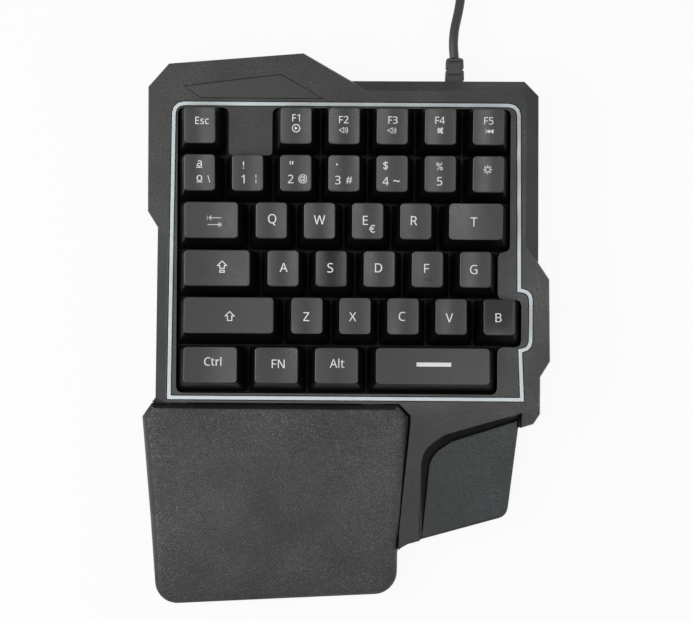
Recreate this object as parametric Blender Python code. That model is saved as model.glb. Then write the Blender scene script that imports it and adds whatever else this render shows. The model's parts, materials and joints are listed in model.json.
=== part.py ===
"""One-handed gaming keypad: 35 sprung keys in a moulded case with a palm rest, a thumb rest,
a light ring round the keys, fold-out feet and a wired lead. Metres, +Z up, feet on z = 0."""
import math

import bmesh
import bpy
from mathutils import Vector

for old in list(bpy.data.objects):
    bpy.data.objects.remove(old, do_unlink=True)

# Key field: the standard key pitch sets the size of the whole keypad.
key_pitch = 0.01905
column_count = 7
key_gap = 0.00095
field_half_x = key_pitch * column_count / 2

# Each row from the rear: name, key names with left edge and width as shares of the pitch.
key_layout_shares = (
    ("function", (("esc", 0, 1), ("f1", 2, 1), ("f2", 3, 1), ("f3", 4, 1), ("f4", 5, 1), ("f5", 6, 1))),
    ("number", (("ordinal", 0, 1), ("1", 1, 1), ("2", 2, 1), ("3", 3, 1), ("4", 4, 1), ("5", 5, 1),
                ("scroll_lock", 6, 1))),
    ("tab", (("tab", 0, 1.5), ("q", 1.5, 1), ("w", 2.5, 1), ("e", 3.5, 1), ("r", 4.5, 1),
             ("t", 5.5, 1.5))),
    ("caps", (("caps_lock", 0, 1.75), ("a", 1.75, 1), ("s", 2.75, 1), ("d", 3.75, 1), ("f", 4.75, 1),
              ("g", 5.75, 1))),
    ("shift", (("shift", 0, 2.25), ("z", 2.25, 1), ("x", 3.25, 1), ("c", 4.25, 1), ("v", 5.25, 1),
               ("b", 6.25, 1))),
    ("control", (("ctrl", 0, 1.5), ("fn", 1.5, 1.25), ("alt", 2.75, 1.25), ("space", 4, 2.75))),
)
row_count = len(key_layout_shares)
field_half_y = key_pitch * row_count / 2
island_start_share = 1.073
island_end_share = 1.99
wired_key_share = 2
wide_key_share = 1.4

# Key caps: a sculpted row profile, as shares of the cap height and of the rearward lean.
cap_height = 0.0104
cap_top_depth = 0.0143
cap_top_margin = 0.0067
cap_wide_margin = 0.0007
cap_lean = 0.0022
cap_wall = 0.0013
cap_dish = 0.0005
cap_base_radius = 0.0016
cap_top_radius = 0.0014
row_height_shares = (1.0, 1.02, 0.97, 0.93, 0.95, 0.97)
row_lean_shares = (0.73, 0.86, 1.0, 1.05, 1.2, 0.91)
row_tilts = (7, 7, 4, 1, -3, -4)
key_travel = 0.0035

# Heights, from the table up, and how far each lower surface lies under the deck.
underside_height = 0.0010
seam_height = 0.0090
boss_rise = 0.0032
web_over_dome = 0.0001
well_depth = 0.0095
slope_drop = 0.0045
arm_drop = 0.0080
pad_rear_drop = 0.0066
pad_front_drop = 0.0088
palm_rear_drop = 0.0006
palm_foot_drop = 0.0034
palm_front_drop = 0.0095
palm_edge_drop = 0.0108
cap_drop = 0.0025
clearance = 0.0003
overrun = 0.0010
sink = 0.0005

# Case walls.
base_floor = 0.0020
base_chamfer = 0.0015
case_wall = 0.0020
deck_thickness = 0.0024
slope_width = 0.0050
side_border = 0.0125
rear_border = 0.0120
rest_depth = 0.0868
corner_round = 0.0025
palm_round = 0.0092
thumb_round = 0.0050
crotch_round = 0.0045

# Light ring round the key field and the plate that carries the keys.
ring_width = 0.0015
ring_height = 0.0040
ring_proud = 0.0002
ring_round = 0.0045
bump_round = 0.0042
plate_flange = 0.0012
plate_skirt = 0.0020
well_round = 0.0022
island_round = 0.0014
web_thickness = 0.0012
rib_height = 0.0028
rib_thickness = 0.0008
stem_width = 0.0060
chimney_wall = 0.0009

# Sheets under the keys.
sheet_gap = 0.0003
board_thickness = 0.0008
membrane_thickness = 0.0004
dome_sheet_thickness = 0.0005
dome_radius = 0.0042
dome_top_radius = 0.0026
dome_height = 0.0036
dome_wall = 0.0006
dome_sides = 6

# Front arm and rests.
pad_thickness = 0.0020
pad_chamfer = 0.0006
pad_rim = 0.0002
palm_gap = 0.0004
palm_step = 0.0024
palm_edge_round = 0.0040
palm_crown = 0.0016
palm_shell = 0.0024
palm_width_share = 0.75
palm_crown_start_share = 0.1
palm_fall_power = 2
palm_step_power = 1.5
palm_shoulder_shares = (0.25, 0.98)
palm_crown_shares = (0.22, 0.5, 0.78)
palm_ceiling_shares = (0.12, 0.5)

# Badge panel.
badge_thickness = 0.0010
badge_gap = 0.0002

# Small parts of the case.
post_radius = 0.0024
boss_radius = 0.0036
screw_hole_radius = 0.0015
screw_head_radius = 0.0027
screw_head_depth = 0.0034
rib_bar_thickness = 0.0016
round_sides = 10

# Rubber feet and fold-out legs.
foot_length = 0.0220
foot_width = 0.0090
foot_recess = 0.0006
foot_chamfer = 0.0012
leg_length = 0.0170
leg_width = 0.0140
leg_thickness = 0.0034
leg_axis_height = 0.0032
leg_pin_radius = 0.0011
leg_pin_length = 0.0016
leg_pocket_roof = 0.0010
leg_finger_gap = 0.0020

# Stabiliser wires under the two widest keys.
wire_radius = 0.0006
wire_arm = 0.0090
wire_clearance = 0.00035
wire_bar_forward = 0.0056
wire_end_inset = 0.0074
wire_end_length = 0.0032
wire_bend = 0.0012
hook_thickness = 0.0020
hook_wall = 0.0011

# Controller board.
controller_length = 0.0420
controller_width = 0.0200
chip_place_share = -0.17
controller_thickness = 0.0010
chip_width = 0.0090
chip_height = 0.0012

# Lead, its strain relief and its plug.
cord_radius = 0.0019
cord_gap = 0.0003
cord_step = 0.0045
relief_width = 0.0077
relief_neck = 0.0064
relief_flange = 0.0092
relief_flange_thickness = 0.0015
relief_length = 0.0103
relief_tip_width = 0.0070
relief_tip_chamfer = 0.0008
relief_notch_length = 0.0009
relief_notch_depth = 0.0014
relief_corner_share = 0.2
relief_notch_width_share = 0.76
relief_flat_notch_shares = (0.29, 0.80)
relief_side_notch_shares = (0.07, 0.53)
route_steps = 12
coil_gap = 0.0005
coil_mid_radius = 0.0228
coil_turns_in = 5
coil_turns_out = 5.5
coil_tail_turns = 0.5
coil_loop_points = 24
plug_clearance = 0.0010
cord_lift = 0.0004
plug_lift = 0.00005
plug_body_length = 0.0175
plug_boot_length = 0.0105
plug_body_width = 0.0157
plug_body_height = 0.0080
plug_boot_width = 0.0060
plug_boot_end_width = 0.0068
plug_boot_corner_share = 0.25
plug_boot_bend_share = 0.75
plug_shell_width = 0.0120
plug_shell_height = 0.0045
plug_shell_wall = 0.0003
plug_shell_length = 0.0119
plug_shell_seat = 0.0035
plug_corner = 0.0020
tongue_width = 0.0108
tongue_thickness = 0.0018
tongue_recess = 0.0015

# Heights that follow from the sizes above: the stack of sheets carries the plate and its deck.
seam_top = seam_height + clearance
floor_top = underside_height + base_floor
boss_height = floor_top + boss_rise
board_low = boss_height + sheet_gap
membrane_low = board_low + board_thickness + sheet_gap
dome_sheet_low = membrane_low + membrane_thickness + sheet_gap
dome_sheet_top = dome_sheet_low + dome_sheet_thickness
dome_top = dome_sheet_top + dome_height
stem_bottom = dome_top + clearance
web_top_height = dome_top + web_over_dome
web_low_height = web_top_height - web_thickness
rib_top = web_top_height + rib_height
deck_height = web_top_height + well_depth
deck_underside = deck_height - deck_thickness
slope_foot_height = deck_height - slope_drop
arm_front_height = deck_height - arm_drop
pad_rear_height = deck_height - pad_rear_drop
pad_front_height = deck_height - pad_front_drop
palm_rear_height = deck_height - palm_rear_drop
palm_foot_height = deck_height - palm_foot_drop
palm_front_height = deck_height - palm_front_drop
palm_edge_height = deck_height - palm_edge_drop
cap_skirt_height = deck_height - cap_drop
ring_low = deck_height + ring_proud - ring_height
plate_ledge = ring_low - clearance
coil_pitch = 2 * cord_radius + coil_gap
coil_inner_radius = coil_mid_radius - coil_pitch * coil_turns_in / 2
cord_rest_height = cord_radius + cord_lift
plug_axis_height = plug_body_height / 2 + plug_lift
tail_reach = plug_body_width / 2 + cord_radius + plug_clearance - coil_pitch

# Case outline from above, anticlockwise from the rear left corner. Each row holds shares of the
# half field width, side border, half field depth, rear border and rest depth, then the corner
# radius, then how far the deck's edge stands in from it as shares of the slope width.
rear_left_shares = (
    (-1, -1.00, 1, 0.73, 0, 0, 0.16, -0.10),
    (-1, -0.99, 0.276, 0, 0, 0, 0.16, -0.05),
    (-1, -0.66, 0.16, 0, 0, 0, 0.16, -0.06),
    (-1, -0.66, 0.084, 0, 0, 0, 0.86, 0),
    (-1, -0.70, -1, -0.19, 0, 0, 0.86, 0),
)
palm_left_shares = (
    (-1, -1.19, -1, 0, 0.117, corner_round, 0, 0),
    (-1, -0.906, -1, 0, 0.563, 0, 0, 0),
    (-1, -0.68, -1, 0, 1.0, palm_round, 0, 0),
    (0.339, 0, -1, 0, 0.941, palm_round, 0, 0),
)
crotch_shares = ((0.343, 0, -1, 0, 0.718, crotch_round, 0, 0),)
thumb_shares = (
    (1, 0.05, -1, 0, 0.575, thumb_round, -0.06, 0.06),
    (1, 0.393, -1, 0, 0.158, 0, -0.06, 0.16),
)
right_rear_shares = (
    (1, 0.835, -1, -1.0, 0, 0, -0.12, 0.16),
    (1, 1.05, -1, -0.654, 0, 0, -0.16, 0.08),
    (1, 1.05, -0.877, 0, 0, 0, -0.16, 0.06),
    (1, 1.36, -0.766, 0, 0, 0, -0.16, 0.05),
    (1, 1.32, -0.187, 0, 0, 0, -0.16, -0.05),
    (1, 0.955, -0.068, 0, 0, 0, -0.16, -0.05),
    (1, 0.955, 0.051, 0, 0, 0, -1.12, 0),
    (1, 0.93, 1, 0.504, 0, 0, -1.04, -0.50),
    (1, 0.475, 1, 0.988, 0, 0, -0.46, -0.92),
    (0.0435, 0, 1, 0.97, 0, 0, 1.18, -0.88),
    (-0.249, 0, 1, 1.896, 0, 0, -0.04, -0.18),
    (-1, -0.33, 1, 1.52, 0, 0, 0.08, -0.16),
)
# Seam between the case top and the palm rest, from the left edge round to the front.
seam_shares = (
    (-1, -0.82, -1, 0, 0.048, 0, 1.14, 0.06),
    (0.339, 0, -1, 0, 0.048, 0, 0.03, 0.06),
    (0.408, 0, -1, 0, 0.102, 0, 0.06, 0.04),
    (0.408, 0, -1, 0, 0.146, 0, 0.06, 0),
    (0.385, 0, -1, 0, 0.346, 0, 0.06, 0),
    (0.3495, 0, -1, 0, 0.655, 0, 0.06, 0),
)
crotch_tip_shares = (
    (0.3485, 0, -1, 0, 0.735, 0, 0.06, 0.06),
    (0.364, 0, -1, 0, 0.7235, 0, 0.02, 0.06),
    (0.404, 0, -1, 0, 0.7055, 0, 0, 0.06),
)
# Light ring, outer edge, anticlockwise from the rear left.
ring_shares = (
    (-1, -0.18, 1, 0.195, 0, ring_round),
    (-1, -0.285, -1, -0.22, 0, 0),
    (1, 0.485, -1, -0.22, 0, 0),
    (1, 0.415, -0.70, 0, 0, 0),
    (1, 0.745, -0.69, 0, 0, bump_round),
    (1, 0.742, -0.265, 0, 0, bump_round),
    (1, 0.37, -0.255, 0, 0, 0),
    (1, 0.315, 1, 0.195, 0, ring_round),
)
badge_shares = (
    (-0.968, 0, 1, 0.72, 0),
    (-0.861, 0, 1, 0.315, 0),
    (-0.123, 0, 1, 0.315, 0),
    (-0.382, 0, 1, 1.133, 0),
)
# Thumb hollow: its top edge and its foot, from the rear right round to the front left.
thumb_top_shares = (
    (1, 0.43, -1, 0, 0.083, 0),
    (0.62, 0, -1, 0, 0.187, 0),
    (0.48, 0, -1, 0, 0.262, 0.2),
    (0.466, 0, -1, 0, 0.78, 0),
)
thumb_foot_shares = (
    (1, 0.43, -1, 0, 0.113, 0),
    (0.66, 0, -1, 0, 0.217, 0),
    (0.527, 0, -1, 0, 0.290, 0.2),
    (0.478, 0, -1, 0, 0.78, 0),
)
thumb_bend_round = 0.0110
thumb_step_share = 0.164
case_screw_shares = (
    (-1, -0.59, 0.70, 0, 0),
    (-1, -0.31, 1, 0.78, 0),
    (-0.045, 0, 1, 0.70, 0),
    (0.985, 0, 1, 0.55, 0),
)
rest_screw_shares = (
    (-0.95, 0, -1, 0, 0.14),
    (0.22, 0, -1, 0, 0.14),
    (-0.90, 0, -1, 0, 0.86),
    (0.18, 0, -1, 0, 0.82),
)
foot_shares = (
    ("foot_rear_left", (-0.54, 0, 0.98, 0, 0)),
    ("foot_rear_right", (0.50, 0, 0.98, 0, 0)),
    ("foot_front_left", (-0.84, 0, -1, 0, 0.76)),
    ("foot_front_right", (0.76, 0, -1, 0, 0.50)),
)
leg_shares = (
    ("tilt_leg_left", (-0.95, 0, 0.92, 0, 0)),
    ("tilt_leg_right", (0.95, 0, 0.92, 0, 0)),
)
support_bar_shares = (-0.90, -0.48, -0.06, 0.36)
controller_shares = (-0.02, 0, 0.66, 0, 0)
lead_shares = (0.673, 0, 1, 0.988, 0)


def spot(half_x, border_x, half_y, border_y, rest, *_):
    """A place on the case from shares of the sizes that it follows."""
    x = half_x * field_half_x + border_x * side_border
    y = half_y * field_half_y + border_y * rear_border - rest * rest_depth
    return x, y


def arc_points(before, here, after, radius, steps):
    """The points of the arc that rounds one corner."""
    here = Vector(here)
    to_before = (Vector(before) - here).normalized()
    to_after = (Vector(after) - here).normalized()
    half = to_before.angle(to_after) / 2
    centre = here + (to_before + to_after).normalized() * (radius / math.sin(half))
    reach = radius / math.tan(half)
    start = here + to_before * reach - centre
    end = here + to_after * reach - centre
    sweep = math.atan2(start.x * end.y - start.y * end.x, start.dot(end))
    first = math.atan2(start.y, start.x)
    turns = [first + sweep * step / steps for step in range(steps + 1)]
    return [(centre.x + radius * math.cos(turn), centre.y + radius * math.sin(turn)) for turn in turns]


def rounded(corners, steps=3):
    """Outline points from (x, y, radius) corners, with an arc where the radius isn't zero."""
    points = []
    for index, (x, y, radius) in enumerate(corners):
        if radius == 0:
            points.append((x, y))
            continue
        before = corners[index - 1][:2]
        after = corners[(index + 1) % len(corners)][:2]
        points += arc_points(before, (x, y), after, radius, steps)
    return points


def inset(points, distance):
    """An anticlockwise outline moved inwards by a distance, with as many points."""
    moved = []
    for index, point in enumerate(points):
        here = Vector(point)
        along_in = (here - Vector(points[index - 1])).normalized()
        along_out = (Vector(points[(index + 1) % len(points)]) - here).normalized()
        normal_in = Vector((-along_in.y, along_in.x))
        normal_out = Vector((-along_out.y, along_out.x))
        push = (normal_in + normal_out) / (1 + normal_in.dot(normal_out))
        moved.append(tuple(here + push * distance))
    return moved


def at_height(points, height):
    """A loop of 3-D points; height is a number or a function of x and y."""
    if callable(height):
        return [(x, y, height(x, y)) for x, y in points]
    return [(x, y, height) for x, y in points]


def loft(loops, ring=False):
    """A closed mesh through loops of equal count: capped at both ends, or joined into a ring."""
    shape = bmesh.new()
    rows = [[shape.verts.new(point) for point in loop] for loop in loops]
    pairs = list(zip(rows, rows[1:]))
    if ring:
        pairs.append((rows[-1], rows[0]))
    else:
        shape.faces.new(rows[0])
        shape.faces.new(rows[-1])
    for low, high in pairs:
        for index in range(len(low)):
            after = (index + 1) % len(low)
            shape.faces.new((low[index], low[after], high[after], high[index]))
    bmesh.ops.recalc_face_normals(shape, faces=shape.faces)
    return shape


def prism(points, low, high):
    """An outline raised between two heights."""
    return loft([at_height(points, low), at_height(points, high)])


def merged(shapes):
    """Several closed meshes as one bmesh, left as separate bodies."""
    whole = bmesh.new()
    for shape in shapes:
        part_mesh = bpy.data.meshes.new("piece")
        shape.to_mesh(part_mesh)
        whole.from_mesh(part_mesh)
        bpy.data.meshes.remove(part_mesh)
        shape.free()
    return whole


def rectangle(centre_x, centre_y, width, depth):
    """An upright rectangle's corners, anticlockwise."""
    left = centre_x - width / 2
    right = centre_x + width / 2
    front = centre_y - depth / 2
    rear = centre_y + depth / 2
    return [(left, front), (right, front), (right, rear), (left, rear)]


def cut_rectangle(centre_x, centre_y, width, depth, corner):
    """A rectangle with its corners cut off, anticlockwise."""
    points = []
    for x, y in rectangle(centre_x, centre_y, width, depth):
        to_x = corner if x < centre_x else -corner
        to_y = corner if y < centre_y else -corner
        pair = [(x, y + to_y), (x + to_x, y)]
        if (x < centre_x) != (y < centre_y):
            pair.reverse()
        points += pair
    return points


def circle(centre_x, centre_y, radius, sides):
    """A regular polygon, anticlockwise."""
    turns = [2 * math.pi * side / sides for side in range(sides)]
    return [(centre_x + radius * math.cos(turn), centre_y + radius * math.sin(turn)) for turn in turns]


def material(name, colour, roughness, metallic=0.0):
    """A plain finish for one sub-part."""
    finish = bpy.data.materials.new(name)
    finish.use_nodes = True
    shader = finish.node_tree.nodes["Principled BSDF"]
    shader.inputs["Base Color"].default_value = (*colour, 1)
    shader.inputs["Roughness"].default_value = roughness
    shader.inputs["Metallic"].default_value = metallic
    return finish


# The case stands with the middle of its outline at the origin.
def case_corners():
    rows = rear_left_shares + palm_left_shares + crotch_shares + thumb_shares + right_rear_shares
    return [(*spot(*row[:5]), row[5]) for row in rows]


case_outline = rounded(case_corners(), 4)
centre_x = -(min(x for x, y in case_outline) + max(x for x, y in case_outline)) / 2
centre_y = -(min(y for x, y in case_outline) + max(y for x, y in case_outline)) / 2


def add_object(name, shape, finish, x=0.0, y=0.0, z=0.0):
    """An object from a bmesh, with its origin at a place on the case."""
    mesh = bpy.data.meshes.new(name)
    shape.to_mesh(mesh)
    shape.free()
    thing = bpy.data.objects.new(name, mesh)
    bpy.context.scene.collection.objects.link(thing)
    thing.location = (x + centre_x, y + centre_y, z)
    if finish:
        mesh.materials.append(finish)
    return thing


def boolean(thing, name, shape, operation):
    """Add a Boolean with a helper shape that isn't part of the object."""
    helper = add_object(name, shape, None)
    helper.location = thing.location
    helper.hide_render = True
    helper.display_type = "WIRE"
    step = thing.modifiers.new(name, "BOOLEAN")
    step.operation = operation
    step.object = helper
    step.solver = "EXACT"
    return helper


def cut(thing, name, shape):
    return boolean(thing, name, shape, "DIFFERENCE")


def join(thing, name, shape):
    boolean(thing, name, shape, "UNION")


# Outlines shared by several pieces.
def cover_rows():
    return rear_left_shares + seam_shares + crotch_tip_shares + thumb_shares + right_rear_shares


def cover_loops():
    """The case top's outline and its deck edge, point for point."""
    rows = cover_rows()
    corners = [(*spot(*row[:5]), row[5]) for row in rows]
    outline = []
    deck_edge = []
    for index, row in enumerate(rows):
        x, y, radius = corners[index]
        points = [(x, y)]
        if radius:
            after = corners[(index + 1) % len(corners)][:2]
            points = arc_points(corners[index - 1][:2], (x, y), after, radius, 3)
        outline += points
        deck_edge += [(px + row[6] * slope_width, py + row[7] * slope_width) for px, py in points]
    return outline, deck_edge


def ring_outline():
    return rounded([(*spot(*row[:5]), row[5]) for row in ring_shares], 3)


def key_cells():
    """Every key with its row number, centre and width."""
    cells = []
    for row, (_, keys) in enumerate(key_layout_shares):
        y = field_half_y - (row + 0.5) * key_pitch
        for name, start, width in keys:
            x = (start + width / 2) * key_pitch - field_half_x
            cells.append((name, row, x, y, width * key_pitch))
    return cells


def arm_height(x, y):
    """The deck falls from the keys to the front of the arm."""
    start = -field_half_y - ring_round - clearance
    end = -field_half_y - rest_depth * crotch_shares[0][4]
    share = max(0.0, (start - y) / (start - end))
    return deck_height - share * (deck_height - arm_front_height)


def pad_height(x, y):
    """The thumb rest's surface, nearly level."""
    share = (-field_half_y - y) / (rest_depth * crotch_shares[0][4])
    return pad_rear_height - share * (pad_rear_height - pad_front_height)


# Key caps.
def cap_loop(half_x, half_y, radius, middle_y, height, corner_steps, edge_points):
    """One loop of a cap, from the rear right corner round to the front right one."""
    corners = ((1, 1, 0), (-1, 1, 90), (-1, -1, 180), (1, -1, 270))
    points = []
    for number, (side_x, side_y, first) in enumerate(corners):
        for step in range(corner_steps + 1):
            turn = math.radians(first + 90 * step / corner_steps)
            x = side_x * (half_x - radius) + radius * math.cos(turn)
            y = side_y * (half_y - radius) + radius * math.sin(turn) + middle_y
            points.append((x, y))
        if number % 2 == 0:
            reach = side_x * (half_x - radius)
            for step in range(1, edge_points + 1):
                x = reach * (1 - 2 * step / (edge_points + 1))
                points.append((x, side_y * half_y + middle_y))
    return at_height(points, height)


def add_between(shape, outer, inner):
    """Fill the flat band between two loops of unlike count."""
    edges = []
    for loop in (outer, inner):
        edges += [shape.edges.get((loop[i - 1], loop[i])) for i in range(len(loop))]
    bmesh.ops.triangle_fill(shape, edges=edges, use_beauty=True)


def add_band(shape, low, high):
    for index in range(len(low)):
        shape.faces.new((low[index - 1], low[index], high[index], high[index - 1]))


def cap_mesh(row, width):
    """A hollow cap with a dished top and the stem that pushes the dome."""
    half_base_x = (width - key_gap) / 2
    half_base_y = (key_pitch - key_gap) / 2
    margin = cap_top_margin + (cap_wide_margin if width > wide_key_share * key_pitch else 0)
    half_top_x = (width - margin) / 2
    half_top_y = cap_top_depth / 2
    top = cap_skirt_height + cap_height * row_height_shares[row]
    lean = cap_lean * row_lean_shares[row]
    tilt = math.tan(math.radians(row_tilts[row]))
    dish = 0 if width > wired_key_share * key_pitch and row == row_count - 1 else cap_dish

    def top_surface(x, y):
        return top + (y - lean) * tilt - dish * (1 - (x / half_top_x) ** 2)

    ceiling = top - abs(tilt) * half_top_y - dish - cap_wall
    share = (ceiling - cap_skirt_height) / (top - cap_skirt_height)
    half_in_x = half_base_x + (half_top_x - half_base_x) * share - cap_wall
    half_in_y = half_base_y + (half_top_y - half_base_y) * share - cap_wall
    shape = bmesh.new()

    def row_of(points):
        loop = [shape.verts.new(point) for point in points]
        for index in range(len(loop)):
            if not shape.edges.get((loop[index - 1], loop[index])):
                shape.edges.new((loop[index - 1], loop[index]))
        return loop

    base = row_of(cap_loop(half_base_x, half_base_y, cap_base_radius, 0, cap_skirt_height, 2, 3))
    rim = row_of(cap_loop(half_top_x, half_top_y, cap_top_radius, lean, top_surface, 2, 3))
    in_base = row_of(cap_loop(half_base_x - cap_wall, half_base_y - cap_wall, cap_base_radius, 0,
                              cap_skirt_height, 1, 0))
    in_top = row_of(cap_loop(half_in_x, half_in_y, cap_top_radius, lean * share, ceiling, 1, 0))
    stem_root = row_of(at_height(rectangle(0, 0, stem_width, stem_width), ceiling))
    stem_end = row_of(at_height(rectangle(0, 0, stem_width, stem_width), stem_bottom))
    add_band(shape, base, rim)
    add_band(shape, in_base, in_top)
    add_band(shape, stem_root, stem_end)
    shape.faces.new(stem_end)
    add_between(shape, base, in_base)
    add_between(shape, in_top, stem_root)
    last = len(rim) - 1
    for index in range(len(rim) // 2 - 1):
        shape.faces.new((rim[index], rim[index + 1], rim[last - index - 1], rim[last - index]))
    bmesh.ops.recalc_face_normals(shape, faces=shape.faces)
    return shape, ceiling


# Stabiliser: a bent wire turns in two hooks on the plate and lifts two hooks under the cap.
wire_swing = 2 * math.asin(key_travel / 2 / wire_arm)
wire_pivot_height = web_top_height + key_travel / 2 + wire_radius + 2 * wire_clearance + hook_wall
wire_bar_height = wire_pivot_height + key_travel / 2
wire_pivot_back = wire_arm * math.cos(wire_swing / 2) - wire_bar_forward


def side_prism(profile, x_low, x_high):
    """A profile in the YZ plane, thickened along X."""
    return loft([[(x_low, y, z) for y, z in profile], [(x_high, y, z) for y, z in profile]])


def hook_profile(y, z, back, root):
    """A C that holds the wire at (y, z), open to one side, on a web that reaches root."""
    free = wire_radius + wire_clearance
    away = 1 if back else -1
    heel = y + away * (free + hook_wall)
    inner = y + away * free
    mouth = y - away * wire_radius
    low = z - free
    high = z + free
    reach = hook_wall / 2
    if root < z:
        return [(heel, root), (heel, high + reach), (mouth, high + reach), (mouth, high), (inner, high),
                (inner, low), (mouth, low), (mouth, low - reach), (inner, low - reach), (inner, root)]
    return [(heel, root), (heel, low - reach), (mouth, low - reach), (mouth, low), (inner, low),
            (inner, high), (mouth, high), (mouth, high + reach), (inner, high + reach), (inner, root)]


def wire_reach(width):
    return width / 2 - wire_end_inset


def cap_hooks(width, ceiling):
    """The two hooks under a wide cap."""
    profile = hook_profile(-wire_bar_forward, wire_bar_height, True, ceiling + sink)
    middle = wire_reach(width) - wire_end_length - hook_thickness - clearance
    return merged([side_prism(profile, side * middle - hook_thickness / 2,
                              side * middle + hook_thickness / 2) for side in (-1, 1)])


def plate_hooks():
    """The hooks on the plate that hold the ends of each wire."""
    hooks = []
    for name, row, x, y, width in key_cells():
        if width > wired_key_share * key_pitch:
            profile = hook_profile(y + wire_pivot_back, wire_pivot_height, True, web_top_height - sink)
            middle = wire_reach(width) - wire_end_length / 2 - hook_wall / 2
            for side in (-1, 1):
                hooks.append(side_prism(profile, x + side * middle - hook_thickness / 2,
                                        x + side * middle + hook_thickness / 2))
    return hooks


def bent_line(corners, radius, steps):
    """A 3-D line through corners that are rounded by short arcs."""
    points = [Vector(corners[0])]
    for before, here, after in zip(corners, corners[1:], corners[2:]):
        here = Vector(here)
        start = here + (Vector(before) - here).normalized() * radius
        end = here + (Vector(after) - here).normalized() * radius
        for step in range(steps + 1):
            share = step / steps
            points.append(start * (1 - share) ** 2 + here * 2 * share * (1 - share) + end * share ** 2)
    points.append(Vector(corners[-1]))
    return points


def tube_object(name, points, radius, sides_setting, finish, origin=(0, 0, 0)):
    """A round wire or lead along points, as a curve with filled ends."""
    curve = bpy.data.curves.new(name, "CURVE")
    curve.dimensions = "3D"
    curve.bevel_depth = radius
    curve.bevel_resolution = sides_setting
    curve.use_fill_caps = True
    line = curve.splines.new("POLY")
    line.points.add(len(points) - 1)
    for place, point in zip(line.points, points):
        place.co = (*(Vector(point) - Vector(origin)), 1)
    thing = bpy.data.objects.new(name, curve)
    bpy.context.scene.collection.objects.link(thing)
    thing.location = origin
    curve.materials.append(finish)
    return thing


def wire_object(name, x, y, width, finish):
    """One stabiliser wire, with its origin on its pivot."""
    reach = wire_reach(width)
    end = reach - wire_end_length
    back = wire_pivot_back
    bar = -wire_bar_forward
    corners = [(-end, back, wire_pivot_height), (-reach, back, wire_pivot_height),
               (-reach, bar, wire_bar_height), (reach, bar, wire_bar_height),
               (reach, back, wire_pivot_height), (end, back, wire_pivot_height)]
    shift = Vector((x + centre_x, y + centre_y, 0))
    points = [point + shift for point in bent_line(corners, wire_bend, 2)]
    origin = (shift.x, shift.y + back, wire_pivot_height)
    return tube_object(name, points, wire_radius, 1, finish, origin)


def add_keys(cap_finish, wire_finish):
    meshes = {}
    for name, row, x, y, width in key_cells():
        wired = width > wired_key_share * key_pitch
        if wired or (row, width) not in meshes:
            shape, ceiling = cap_mesh(row, width)
            cap = add_object("key_" + name, shape, cap_finish, x, y)
            if wired:
                join(cap, "hooks_" + name, cap_hooks(width, ceiling))
                wire_object("wire_" + name, x, y, width, wire_finish)
            else:
                meshes[(row, width)] = cap.data
        else:
            cap = bpy.data.objects.new("key_" + name, meshes[(row, width)])
            bpy.context.scene.collection.objects.link(cap)
            cap.location = (x + centre_x, y + centre_y, 0)


# Plate that carries the keys.
def well_corners():
    """The edge of the key field, anticlockwise from the rear left, with its island."""
    ends = [max(start + width for _, start, width in keys) for _, keys in key_layout_shares]
    rear = field_half_y
    corners = [(-field_half_x, rear, well_round), (-field_half_x, -rear, well_round)]
    for row in range(row_count - 1, -1, -1):
        x = ends[row] * key_pitch - field_half_x
        low = rear - (row + 1) * key_pitch
        high = low + key_pitch
        if row == row_count - 1 or ends[row] != ends[row + 1]:
            corners.append((x, low, well_round))
        if row == 0 or ends[row] != ends[row - 1]:
            corners.append((x, high, well_round))
    island_left = island_start_share * key_pitch - field_half_x
    island_right = island_end_share * key_pitch - field_half_x
    front = rear - key_pitch
    corners += [(island_right, rear, well_round), (island_right, front, island_round),
                (island_left, front, island_round), (island_left, rear, well_round)]
    return corners


def add_key_plate(finish):
    ring = ring_outline()
    flange = inset(ring, -plate_flange)
    lip = inset(ring, ring_width + clearance)
    loops = [at_height(flange, board_low), at_height(flange, plate_ledge),
             at_height(lip, plate_ledge), at_height(lip, deck_height)]
    plate = add_object("key_plate", loft(loops), finish)
    hollow = inset(flange, plate_skirt)
    cut(plate, "plate_hollow", prism(hollow, board_low - overrun, web_low_height))
    wells = rounded(well_corners(), 2)
    cut(plate, "plate_wells", prism(wells, rib_top, deck_height + overrun))
    cutters = []
    hole = stem_width + 2 * clearance
    chimney = hole + 2 * chimney_wall
    for name, row, x, y, width in key_cells():
        outer = rectangle(x, y, width - rib_thickness, key_pitch - rib_thickness)
        inner = rectangle(x, y, chimney, chimney)
        high = rib_top + overrun
        cutters.append(loft([at_height(outer, web_top_height), at_height(outer, high),
                             at_height(inner, high), at_height(inner, web_top_height)], ring=True))
        cutters.append(prism(rectangle(x, y, hole, hole), web_low_height - overrun, high))
    cut(plate, "plate_pockets", merged(cutters))
    join(plate, "plate_wire_hooks", merged(plate_hooks()))


def add_light_ring(finish):
    outer = ring_outline()
    inner = inset(outer, ring_width)
    high = deck_height + ring_proud
    loops = [at_height(outer, ring_low), at_height(outer, high), at_height(inner, high),
             at_height(inner, ring_low)]
    add_object("light_ring", loft(loops, ring=True), finish)


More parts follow.
